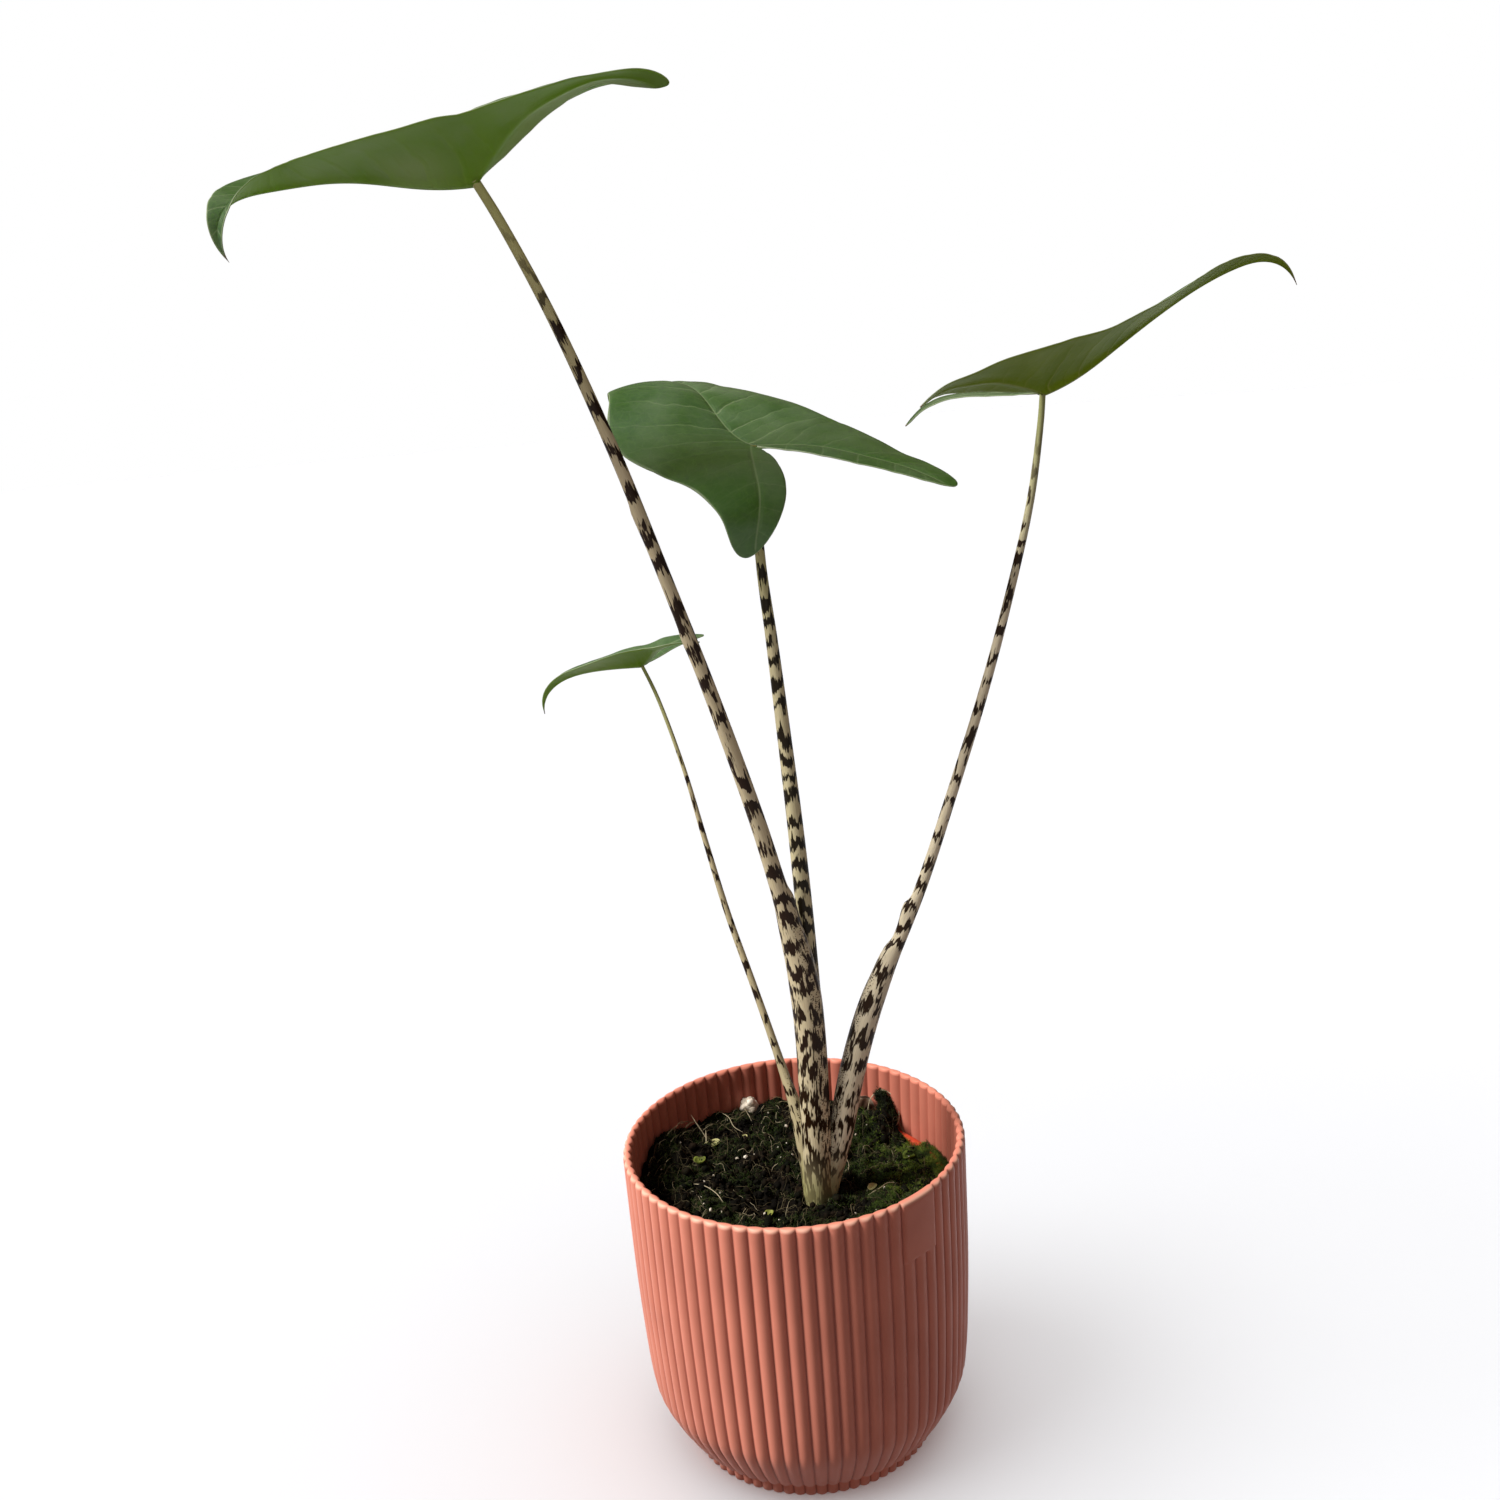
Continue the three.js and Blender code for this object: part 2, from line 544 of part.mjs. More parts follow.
// Both faces of a surface, split into triangles alike, and a wall along every free edge. The
// lower face stands further off by the ridge height at each point.
function thicken(points, triangles, ridges, half) {
  const surface = meshFrom(points, triangles);
  surface.computeVertexNormals();
  const position = surface.getAttribute('position');
  const normal = surface.getAttribute('normal');
  const ridge = ridgeByPlace(points, ridges, position);
  const count = position.count;
  const skins = [];
  for (const face of [1, -1]) {
    for (let i = 0; i < count; i += 1) {
      const offset = face > 0 ? half : -(half + ridge[i]);
      skins.push([0, 1, 2].map((k) => position.getComponent(i, k) + offset * normal.getComponent(i, k)));
    }
  }
  const index = surface.getIndex().array;
  const edges = new Map();
  const closed = [];
  for (let i = 0; i < index.length; i += 3) {
    const corners = [index[i], index[i + 1], index[i + 2]];
    closed.push(corners, [corners[0] + count, corners[2] + count, corners[1] + count]);
    for (let k = 0; k < 3; k += 1) {
      const [from, to] = [corners[k], corners[(k + 1) % 3]];
      if (edges.has(`${to}_${from}`)) edges.delete(`${to}_${from}`);
      else edges.set(`${from}_${to}`, [from, to]);
    }
  }
  for (const [from, to] of edges.values()) {
    closed.push([to, from, from + count], [to, from + count, to + count]);
  }
  return meshFrom(skins, closed);
}

// The ridge height at each merged point, found again by its place.
function ridgeByPlace(points, ridges, position) {
  const key = (place) => place.map((value) => Math.fround(value).toFixed(2)).join();
  const byPlace = new Map();
  points.forEach((place, i) => byPlace.set(key(place), ridges[i]));
  return Array.from({ length: position.count }, (_, i) => {
    const place = [0, 1, 2].map((k) => position.getComponent(i, k));
    return byPlace.get(key(place)) ?? 0;
  });
}

// ---------------------------------------------------------------- the plant in its pot
const group = new THREE.Group();
group.name = 'alocasia_zebrina';

function addPiece(name, geometry, finish) {
  const mesh = new THREE.Mesh(geometry, new THREE.MeshStandardMaterial(FINISHES[finish]));
  mesh.name = name;
  group.add(mesh);
}

addPiece('cover_pot', coverPot(), 'pot');
addPiece('nursery_pot', nurseryPot(), 'nursery');
addPiece('soil', soil(), 'soil');
addPiece('corm', corm(), 'corm');

const clearances = [];
for (const key of CLASP_ORDER) {
  const stem = toManifold(petiole(PETIOLES[key], 0));
  const bladeTool = toManifold(blade(BLADES[key], GAP));
  addPiece(`petiole_${key}`, fromManifold(cut(stem, [...clearances, bladeTool])), 'petiole');
  clearances.push(toManifold(petiole(PETIOLES[key], GAP)));
}
for (const key of Object.keys(BLADES)) {
  addPiece(`blade_${key}`, blade(BLADES[key], 0), 'blade');
}

export default group;
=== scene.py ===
"""Looks of an alocasia zebrina in a ribbed cover pot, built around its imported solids.

Lengths are in millimetres and angles in degrees, unless a name says otherwise; they turn to
metres where a mesh is made. Each sub-assembly is a class that builds its meshes and dresses
them, and each finish is a class that builds one material.
"""

import logging
import math
from dataclasses import dataclass, field, replace
from enum import Enum
from functools import cache, partial
from itertools import combinations
from typing import Any, Callable, Iterable, Sequence

import bpy
import numpy as np
from mathutils import Matrix, Vector

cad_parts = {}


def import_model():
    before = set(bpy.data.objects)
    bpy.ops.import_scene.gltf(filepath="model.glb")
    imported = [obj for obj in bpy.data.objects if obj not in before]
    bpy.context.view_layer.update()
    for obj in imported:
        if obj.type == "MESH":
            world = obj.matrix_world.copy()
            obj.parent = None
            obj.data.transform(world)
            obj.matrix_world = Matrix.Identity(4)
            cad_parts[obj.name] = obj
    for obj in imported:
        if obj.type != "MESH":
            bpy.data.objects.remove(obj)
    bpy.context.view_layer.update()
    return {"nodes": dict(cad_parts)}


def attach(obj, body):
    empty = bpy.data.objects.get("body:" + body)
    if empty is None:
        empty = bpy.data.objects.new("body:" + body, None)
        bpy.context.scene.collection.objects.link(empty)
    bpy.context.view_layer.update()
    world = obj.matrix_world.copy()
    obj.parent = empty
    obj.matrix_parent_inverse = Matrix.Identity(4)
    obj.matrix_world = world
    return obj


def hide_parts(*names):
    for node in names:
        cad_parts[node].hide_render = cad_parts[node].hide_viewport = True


LOG = logging.getLogger("alocasia")
METRES = 0.001

Array = np.ndarray
Faces = list[tuple[int, ...]]
Object = bpy.types.Object
Socket = bpy.types.NodeSocket
Tree = bpy.types.NodeTree
Adder = Callable[..., Socket]  # add_node, with the tree of one material

# Input places, output place and setting of the colour form of Blender's Mix node.
FACTOR, UNDER_IT, OVER_IT = 0, 6, 7
COLOUR_MIX = {"out": 2, "data_type": "RGBA"}


# ---- numbers and curves
class Noise:
    """Repeatable gradient noise in three dimensions, from about -1 to 1."""

    def __init__(self, seed: int) -> None:
        """Draw the table of slopes from a seed."""
        draw = np.random.default_rng(seed)
        self.order = np.tile(draw.permutation(256), 2)
        self.slopes = unit(draw.normal(size=(256, 3)))

    def at(self, places: Array) -> Array:
        """Return the noise at each place.

        Args:
            places: points, one a row, in cells of the noise.

        Returns:
            One value for each point.
        """
        cell = np.floor(places).astype(int)
        part = places - cell
        ease = part**3 * (part * (part * 6 - 15) + 10)
        total = np.zeros(len(places))
        for corner in np.ndindex(2, 2, 2):
            index = (cell + corner) & 255
            spot = self.order[index[:, 0]] + index[:, 1]
            spot = self.order[self.order[spot] + index[:, 2]]
            weight = np.prod(np.where(np.array(corner) == 1, ease, 1 - ease), axis=1)
            total += weight * np.sum(self.slopes[spot] * (part - corner), axis=1)
        return 1.6 * total

    def layers(self, places: Array, count: int, fade: float = 0.5) -> Array:
        """Return the sum of noise at finer and finer scales, each weaker by fade."""
        return sum(fade**k * self.at(places * 2**k + 17.3 * k) for k in range(count))


def unit(vectors: Array) -> Array:
    """Return each vector at a length of 1."""
    return vectors / np.maximum(np.linalg.norm(vectors, axis=-1, keepdims=True), 1e-12)


def bell(x: Array) -> Array:
    """Return a bell curve, 1 at nothing."""
    return np.exp(-(x**2))


def step(low: float, high: float, value: Array) -> Array:
    """Return an even rise from 0 at low to 1 at high."""
    share = np.clip((np.asarray(value, float) - low) / (high - low), 0, 1)
    return share * share * (3 - 2 * share)


def cubic(t: Array, span: Array, a: Array, leave: Array, b: Array, arrive: Array) -> Array:
    """Return the cubic from a to b with the slopes leave and arrive, at shares t of a span."""
    start = (2 * t**3 - 3 * t**2 + 1) * a + (t**3 - 2 * t**2 + t) * span * leave
    return start + (3 * t**2 - 2 * t**3) * b + (t**3 - t**2) * span * arrive


def smooth(x: Array, xs: Sequence[float], ys: Sequence[float], last: float | None = None) -> Array:
    """Return a smooth curve through stations that never swings past them.

    Args:
        x: where the curve is read.
        xs: places of the stations, rising.
        ys: values at the stations.
        last: slope at the last station, or None for that of the last stretch.

    Returns:
        The curve's value at each x.
    """
    xs, ys, x = np.asarray(xs, float), np.asarray(ys, float), np.asarray(x, float)
    slopes = np.diff(ys) / np.diff(xs)
    before, after = slopes[:-1], slopes[1:]
    both = np.where(before + after == 0, 1.0, before + after)
    inner = np.where(before * after <= 0, 0.0, 2 * before * after / both)
    tangents = np.array([slopes[0], *inner, slopes[-1] if last is None else last])
    k = np.clip(np.searchsorted(xs, x) - 1, 0, len(xs) - 2)
    span = xs[k + 1] - xs[k]
    return cubic((x - xs[k]) / span, span, ys[k], tangents[k], ys[k + 1], tangents[k + 1])


def path_through(stations: Array, steps: int) -> Array:
    """Return points on a centripetal Catmull-Rom curve.

    Args:
        stations: the points that the curve runs through, one a row.
        steps: how many points each stretch has.

    Returns:
        The points of all stretches and the last station.
    """
    ends = [2 * stations[0] - stations[1]], [2 * stations[-1] - stations[-2]]
    places = np.concatenate([ends[0], stations, ends[1]])
    t = np.linspace(0, 1, steps, endpoint=False)[:, None]
    points = []
    for k in range(1, len(places) - 2):
        a, b, c, d = places[k - 1 : k + 3]
        first, middle, third = (math.sqrt(np.linalg.norm(q - p)) for p, q in ((a, b), (b, c), (c, d)))
        leave = (b - a) / first - (c - a) / (first + middle) + (c - b) / middle
        arrive = (c - b) / middle - (d - b) / (middle + third) + (d - c) / third
        points.append(cubic(t, middle, b, leave, c, arrive))
    return np.concatenate([*points, stations[-1:]])


def full_turn(count: int) -> Array:
    """Return angles in radians, evenly round a full turn."""
    return np.linspace(0, 2 * math.pi, count, endpoint=False)


def circle(radius: Array, turned: Array, z: Array = 0.0, x: float = 0.0, y: float = 0.0) -> Array:
    """Return the points of a level ring about x and y, one for each angle turned."""
    return np.stack([x + radius * np.cos(turned), y + radius * np.sin(turned), z + 0 * turned], -1)


def tube(path: Array, thick: Array, side: Array, lift: Array, turned: Array) -> Array:
    """Return rings of points round a path.

    Args:
        path: the middle of each ring.
        thick: each ring's radius, once or for each of its points.
        side: the direction in which each ring starts.
        lift: the direction a quarter of a turn on.
        turned: the angles of a ring's points.

    Returns:
        The points, shaped (rings, points in a ring, 3).
    """
    outward = side[:, None] * np.cos(turned)[:, None] + lift[:, None] * np.sin(turned)[:, None]
    return path[:, None] + thick[..., None] * outward


# ---- meshes
@dataclass
class Skin:
    """Points and faces of a mesh in the making, with values kept at its points."""

    points: Array
    faces: Faces
    values: dict[str, Array] = field(default_factory=dict)
    finish_of: Array | None = None  # which finish each face takes

    def fill(self, **values: float) -> None:
        """Set values that are the same at all points."""
        self.values |= {name: np.full(len(self.points), value) for name, value in values.items()}


def grid_faces(rows: int, columns: int, wrap: bool = False, start: int = 0) -> Faces:
    """Return four-sided faces between the points of a grid.

    Args:
        rows: how many rows of points it has.
        columns: how many points each row has.
        wrap: whether each row closes into a ring.
        start: the number of its first point.

    Returns:
        The faces.
    """
    r, c = np.meshgrid(np.arange(rows - 1), np.arange(columns if wrap else columns - 1), indexing="ij")
    d = (c + 1) % columns
    corners = [r * columns + c, r * columns + d, (r + 1) * columns + d, (r + 1) * columns + c]
    return [tuple(face) for face in (start + np.stack(corners, -1).reshape(-1, 4)).tolist()]


def rings_skin(rings: Array, first: Array, last: Array) -> Skin:
    """Join rings in turn, and close each end to a centre point.

    Args:
        rings: points of the rings, shaped (rings, points in a ring, 3).
        first: the point that closes the first ring.
        last: the point that closes the last ring.

    Returns:
        A closed skin, whose first and last points are the centres.
    """
    count, around = rings.shape[:2]
    points = np.concatenate([[first], rings.reshape(-1, 3), [last]])
    faces = grid_faces(count, around, wrap=True, start=1)
    top = 1 + (count - 1) * around
    for i in range(around):
        j = (i + 1) % around
        faces += [(0, 1 + j, 1 + i), (top + i, top + j, len(points) - 1)]
    return Skin(points, faces)


def closed_sheet(upper: Array, under: Array, faces: Faces) -> Skin:
    """Return a thin closed skin of two like surfaces and the band round their edges.

    Args:
        upper: the points of the surface that the faces turn outwards.
        under: the same points of the other surface.
        faces: the faces between the points of one surface.

    Returns:
        The skin: its upper faces come first, then the under ones, then the band.
    """
    count = len(upper)
    edges: dict[tuple[int, int], None] = {}
    for face in faces:
        for a, b in zip(face, face[1:] + face[:1]):
            if (b, a) in edges:
                del edges[(b, a)]
            else:
                edges[(a, b)] = None
    flipped = [tuple(count + i for i in reversed(face)) for face in faces]
    band = [(b, a, a + count, b + count) for a, b in edges]
    return Skin(np.concatenate([upper, under]), [*faces, *flipped, *band])


def joined(skins: Iterable[Skin]) -> Skin:
    """Return several skins, which keep the same values, as one."""
    points, faces, values, start = [], [], {}, 0
    for skin in skins:
        points.append(skin.points)
        faces += [tuple(start + i for i in face) for face in skin.faces]
        for name, value in skin.values.items():
            values.setdefault(name, []).append(value)
        start += len(skin.points)
    return Skin(np.concatenate(points), faces, {name: np.concatenate(v) for name, v in values.items()})


def copies(shape: Skin, places: Array, turns: Array, sizes: Array) -> Skin:
    """Return many turned and stretched copies of a small shape as one skin.

    Args:
        shape: the shape, about its own origin.
        places: where each copy stands, one a row.
        turns: a turning matrix for each copy.
        sizes: three stretches for each copy, along the shape's own axes.

    Returns:
        One skin with a "tone" value of 0 to 1 for each copy.
    """
    stretched = shape.points[None] * sizes[:, None]
    points = np.einsum("nij,nkj->nki", turns, stretched) + places[:, None]
    size = len(shape.points)
    faces = [tuple(n * size + i for i in face) for n in range(len(places)) for face in shape.faces]
    tones = np.repeat((np.arange(len(places)) * 0.6180339887) % 1.0, size)
    return Skin(points.reshape(-1, 3), faces, {"tone": tones})


def turns_of(draw: np.random.Generator, count: int, lean: float = 180.0) -> Array:
    """Return turning matrices with any heading.

    Args:
        draw: the random draw.
        count: how many are wanted.
        lean: the angle up to which they lean over.

    Returns:
        The matrices, shaped (count, 3, 3).
    """
    heading = draw.uniform(0, 2 * math.pi, count)
    tilt = np.radians(lean) * np.sqrt(draw.uniform(0, 1, count))
    spin = draw.uniform(0, 2 * math.pi, count)
    turns = []
    for a, b, c in zip(heading, tilt, spin):
        turns.append(Matrix.Rotation(a, 3, "Z") @ Matrix.Rotation(b, 3, "Y") @ Matrix.Rotation(c, 3, "Z"))
    return np.array([[list(row) for row in turn] for turn in turns])


def welded(skin: Skin, tolerance: float = 0.002) -> Skin:
    """Return a skin with points at one place made one.

    Args:
        skin: the skin, which has one finish.
        tolerance: how near such points are to each other.

    Returns:
        The skin, without the faces that shrank to a line.
    """
    keys = np.round(skin.points / tolerance).astype(np.int64)
    _, first, inverse = np.unique(keys, axis=0, return_index=True, return_inverse=True)
    numbers = inverse.reshape(-1).tolist()
    faces = []
    for face in skin.faces:
        corners = [numbers[i] for i in face]
        kept = tuple(c for i, c in enumerate(corners) if c != corners[i - 1])
        if len(kept) > 2 and len(set(kept)) == len(kept):
            faces.append(kept)
    return Skin(skin.points[first], faces, {name: value[first] for name, value in skin.values.items()})


def place_mesh(name: str, skin: Skin) -> Object:
    """Put a skin into the scene as an object, with its millimetres turned to metres.

    Args:
        name: the object's name.
        skin: its points and faces.

    Returns:
        The new object.
    """
    mesh = bpy.data.meshes.new(name)
    mesh.from_pydata((skin.points * METRES).tolist(), [], skin.faces)
    thing = bpy.data.objects.new(name, mesh)
    bpy.context.scene.collection.objects.link(thing)
    return thing


def make_piece(
    name: str,
    skin: Skin,
    finishes: Sequence[bpy.types.Material],
    stands_for: Sequence[str] = (),
) -> Object:
    """Make a piece from a skin; it rides on the root body.

    Args:
        name: the piece's name.
        skin: its points, faces and values, in millimetres.
        finishes: its materials, in the order of skin.finish_of.
        stands_for: the solids that it is shown in place of.

    Returns:
        The new object.
    """
    piece = place_mesh(name, skin)
    mesh = piece.data
    for key, value in skin.values.items():
        flat = value.ndim == 1
        kept = mesh.attributes.new(key, "FLOAT" if flat else "FLOAT_VECTOR", "POINT")
        kept.data.foreach_set("value" if flat else "vector", value.astype(np.float32).ravel())
    for finish in finishes:
        mesh.materials.append(finish)
    if skin.finish_of is not None:
        mesh.polygons.foreach_set("material_index", skin.finish_of.astype(np.int32))
    mesh.polygons.foreach_set("use_smooth", np.ones(len(mesh.polygons), bool))
    mesh.update()
    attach(piece, "root")
    if stands_for:
        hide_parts(*stands_for)
    LOG.info("%s: %d triangles", name, sum(len(face) - 2 for face in skin.faces))
    return piece


# ---- materials
def linear(code: str) -> tuple[float, float, float, float]:
    """Turn an sRGB hex colour to linear red, green, blue and alpha."""
    shares = [int(code[i : i + 2], 16) / 255 for i in (1, 3, 5)]
    return (*(c / 12.92 if c <= 0.04045 else ((c + 0.055) / 1.055) ** 2.4 for c in shares), 1.0)


def add_node(
    tree: Tree, kind: str, inputs: dict | Sequence = (), out: int | str = 0, **settings: Any
) -> Socket:
    """Add a node with its settings and links.

    Args:
        tree: the node tree.
        kind: Blender's name for the kind of node, without the leading "ShaderNode".
        inputs: values, hex colours or other nodes' outputs, by input or in the inputs' order.
        out: the output that is wanted.
        settings: the node's own settings.

    Returns:
        That output of the new node.
    """
    node = tree.nodes.new("ShaderNode" + kind)
    for name, value in settings.items():
        setattr(node, name, value)
    for name, value in inputs.items() if isinstance(inputs, dict) else enumerate(inputs):
        if isinstance(value, Socket):
            tree.links.new(value, node.inputs[name])
        else:
            node.inputs[name].default_value = linear(value) if isinstance(value, str) else value
    return node.outputs[out]


def set_ramp(colour: Socket, stops: Sequence[tuple[float, str]]) -> Socket:
    """Give a ColorRamp node its stops.

    Args:
        colour: the node's output.
        stops: the stops, each a place and an sRGB hex colour.

    Returns:
        The same output.
    """
    elements = colour.node.color_ramp.elements
    while len(elements) > 1:
        elements.remove(elements[-1])
    for number, (place, code) in enumerate(stops):
        stop = elements[0] if number == 0 else elements.new(place)
        stop.position = place
        stop.color = linear(code)
    return colour


def scale_of(millimetres: float) -> float:
    """Return the texture scale that gives a pattern this size, on coordinates in metres."""
    return 1000.0 / millimetres


@dataclass(frozen=True)
class Finish:
    """What every finish is: a named material whose nodes end in one shader."""

    name: str

    def surface(self, add: Adder) -> Socket:
        """Add the finish's nodes and return its shader."""
        raise NotImplementedError

    @cache
    def build(self) -> bpy.types.Material:
        """Return the material, which is made only once."""
        material = bpy.data.materials.new(self.name)
        material.use_nodes = True
        tree = material.node_tree
        tree.nodes.clear()
        output = tree.nodes.new("ShaderNodeOutputMaterial")
        tree.links.new(self.surface(partial(add_node, tree)), output.inputs["Surface"])
        return material


@dataclass(frozen=True)
class MouldedPolypropylene(Finish):
    """Injection-moulded polypropylene with a fine spark-eroded mould texture.

    The texture spreads highlights into a soft satin sheen. Painted shade darkens the creases
    between ribs and the wall inside, and a painted highlight pales the rim's outer rounding.
    """

    colour: str
    deep: str
    roughness: float = 0.46
    painted_highlight: str = "#f7cdbd"  # painted highlight along the rim's outer rounding

    def surface(self, add: Adder) -> Socket:
        """Add the finish's nodes and return its shader."""
        place = add("TexCoord", out="Object")
        # Painted shade: darker in the creases between ribs and on the wall inside.
        crease = add("Attribute", out="Fac", attribute_name="crease")
        cloud = add("TexNoise", {"Vector": place, "Scale": scale_of(28), "Detail": 3.0})
        cloudy = add("MapRange", (cloud, 0.35, 0.7, 0.0, 0.16))
        shade = add("Math", (crease, 0.6, cloudy), operation="MULTIPLY_ADD")
        # Painted highlight: the rim's outer rounding is mixed towards a pale tint.
        lip = add("Attribute", out="Fac", attribute_name="lip")
        edge = add("Math", (lip, 0.8), operation="MULTIPLY")
        colour = self.colour
        for share, over in ((shade, self.deep), (edge, self.painted_highlight)):
            colour = add("Mix", {FACTOR: share, UNDER_IT: colour, OVER_IT: over}, **COLOUR_MIX)
        # Mould texture is about 0.2 mm; it is drawn at 0.45 mm so that it shows.
        grain = add("TexNoise", {"Vector": place, "Scale": scale_of(0.45), "Detail": 2.0})
        rough = add("MapRange", (grain, 0.0, 1.0, self.roughness - 0.07, self.roughness + 0.07))
        bump = add("Bump", {"Height": grain, "Strength": 0.10, "Distance": 0.0002})
        look = {"Base Color": colour, "Roughness": rough, "Normal": bump}
        return add("BsdfPrincipled", look | {"IOR": 1.49, "Specular IOR Level": 0.25})


@dataclass(frozen=True)
class MoistPeat(Finish):
    """Moist peat mix, milled and pressed: near-black, with fibre and grit that barely shine."""

    black: str = "#010101"
    brown: str = "#080604"
    fibre: str = "#221a12"
    green: str = "#0c1408"

    def surface(self, add: Adder) -> Socket:
        """Add the finish's nodes and return its shader."""
        place = add("TexCoord", out="Object")
        tone = add("Attribute", out="Fac", attribute_name="tone")
        moss = add("Attribute", out="Fac", attribute_name="moss")
        patch = add("TexNoise", {"Vector": place, "Scale": scale_of(5), "Detail": 5.0})
        mixed = add("Math", (tone, 0.45, patch), operation="MULTIPLY_ADD")
        stops = [(0.4, self.black), (0.74, self.brown), (1.0, self.fibre)]
        earth = set_ramp(add("ValToRGB", (mixed,)), stops)
        colour = add("Mix", {FACTOR: moss, UNDER_IT: earth, OVER_IT: self.green}, **COLOUR_MIX)
        crumb = add("TexNoise", {"Vector": place, "Scale": scale_of(0.9), "Detail": 4.0})
        bump = add("Bump", {"Height": crumb, "Strength": 0.8, "Distance": 0.0006})
        look = {"Base Color": colour, "Roughness": 0.85, "Normal": bump, "Specular IOR Level": 0.1}
        return add("BsdfPrincipled", look)


@dataclass(frozen=True)
class TonedGrowth(Finish):
    """Small plant matter that grew or dried as it lies: each sprig or thread has a tone of its own."""

    stops: tuple[tuple[float, str], ...]
    roughness: float = 0.6
    through: str | None = None  # colour of the light that thin leaves let through

    def surface(self, add: Adder) -> Socket:
        """Add the finish's nodes and return its shader."""
        tone = add("Attribute", out="Fac", attribute_name="tone")
        place = add("TexCoord", out="Object")
        fleck = add("TexNoise", {"Vector": place, "Scale": scale_of(1.4), "Detail": 2.0})
        mixed = add("Math", (fleck, 0.35, tone), operation="MULTIPLY_ADD")
        colour = set_ramp(add("ValToRGB", (mixed,)), self.stops)
        look = {"Base Color": colour, "Roughness": self.roughness, "Specular IOR Level": 0.3}
        shader = add("BsdfPrincipled", look)
        if self.through:
            glow = add("BsdfTranslucent", (self.through,))
            shader = add("MixShader", (0.3, shader, glow))
        return shader


@dataclass(frozen=True)
class BandedPetiole(Finish):
    """Living petiole skin: cream tissue under a clear cuticle, with jagged dark bands.

    The bands are made of upright streaks, so their edges are feathered along the stalk. The
    top turns plain green, and a strip beside the sheath's margin is finely speckled.
    """

    cream: str
    dark: str
    green: str
    half_dark: str
    gap_low: float  # higher for thinner bands, at the foot
    gap_high: float  # the same, from half way up
    drift: float = 1.8  # how far bands tilt, in bands
    jag: float = 0.9  # how ragged their ends are, in bands
    blots: float = 7.0  # how far they break up into blots
    dashes: float = 4.5  # how far blots break up into streaks
    foot: str = "#969a66"
    # Noise along the stalk: the size of its cells across and along it, and its detail.
    cells: tuple = (
        ("drift", 5.5, 16.0, 1.0),
        ("streak", 0.9, 8.0, 2.0),
        ("blot", 2.3, 7.0, 2.0),
        ("dash", 0.7, 4.5, 1.0),
        ("fibre", 0.4, 22.0, 1.0),
    )

    def surface(self, add: Adder) -> Socket:
        """Add the finish's nodes and return its shader."""
        stem = add("Attribute", out="Vector", attribute_name="stem")
        read = {"stem": stem}
        for name in ("band", "top", "foot", "strip"):
            read[name] = add("Attribute", out="Fac", attribute_name=name)
        for name, across, along, detail in self.cells:
            scale = (1 / across, 1 / across, 1 / along)
            vector = add("VectorMath", (stem, scale), operation="MULTIPLY")
            read[name] = add("TexNoise", {"Vector": vector, "Scale": 1.0, "Detail": detail})
        # Towards the head the tissue greens and the marks shrink.
        ageing = add("MapRange", (read["top"], 0.76, 0.98))
        marks = self.marks(add, read, ageing)
        # Cream tissue, with faint lengthwise fibres 0.4 mm apart.
        pale = add("MapRange", (read["fibre"], 0.3, 0.7, 0.18, 0.0))
        skin, dark = self.cream, self.dark
        for share, over in ((pale, self.half_dark), (ageing, self.green), (read["foot"], self.foot)):
            skin = add("Mix", {FACTOR: share, UNDER_IT: skin, OVER_IT: over}, **COLOUR_MIX)
        for share, over in ((read["streak"], self.half_dark), (marks, self.dark)):
            dark = add("Mix", {FACTOR: share, UNDER_IT: dark, OVER_IT: over}, **COLOUR_MIX)
        colour = add("Mix", {FACTOR: marks, UNDER_IT: skin, OVER_IT: dark}, **COLOUR_MIX)
        bump = add("Bump", {"Height": read["fibre"], "Strength": 0.25, "Distance": 0.0003})
        look = {"Base Color": colour, "Roughness": 0.5, "Normal": bump, "IOR": 1.42}
        look |= {"Specular IOR Level": 0.18, "Subsurface Weight": 0.08}
        look |= {"Subsurface Radius": (0.9, 0.7, 0.3), "Subsurface Scale": 0.001}
        return add("BsdfPrincipled", look)

    def marks(self, add: Adder, read: dict[str, Socket], ageing: Socket) -> Socket:
        """Cut the dark marks out of a sum of waves, blots and streaks, and add the speckles.

        Args:
            add: adds a node.
            read: the values kept at the stalk's points, and the noises.
            ageing: how far the tissue has turned plain.

        Returns:
            How dark the skin is marked, from 0 to 1.
        """
        # Drift tilts the bands, and streaks give them ragged ends.
        moved = add("Math", (read["drift"], self.drift, read["band"]), operation="MULTIPLY_ADD")
        moved = add("Math", (read["streak"], self.jag, moved), operation="MULTIPLY_ADD")
        moved = add("Math", (moved, 0.5 * (self.drift + self.jag)), operation="SUBTRACT")
        turn = add("Math", (moved, 2 * math.pi), operation="MULTIPLY")
        wave = add("Math", (turn,), operation="COSINE")
        # Bands are weak at the foot, where the marks are scattered blots.
        banded = add("MapRange", (read["top"], 0.04, 0.45, 0.35, 1.5))
        total = add("Math", (wave, banded), operation="MULTIPLY")
        for name, share in (("blot", self.blots), ("dash", self.dashes)):
            total = add("Math", (read[name], share, total), operation="MULTIPLY_ADD")
        gap = add("MapRange", (read["top"], 0.0, 0.5, self.gap_low, self.gap_high))
        gap = add("Math", (ageing, 0.6, gap), operation="MULTIPLY_ADD")
        above = add("Math", (total, gap), operation="SUBTRACT")
        level = 0.5 * (self.blots + self.dashes)
        marks = add("MapRange", (above, level - 0.05, level + 0.6))
        # Marks pale out towards the plain green head, and a little at the foot.
        plain = add("MapRange", (read["top"], 0.88, 0.99, 1.0, 0.0))
        faint = add("Math", (read["foot"], -0.5, plain), operation="MULTIPLY_ADD")
        marks = add("Math", (marks, faint), operation="MULTIPLY", use_clamp=True)
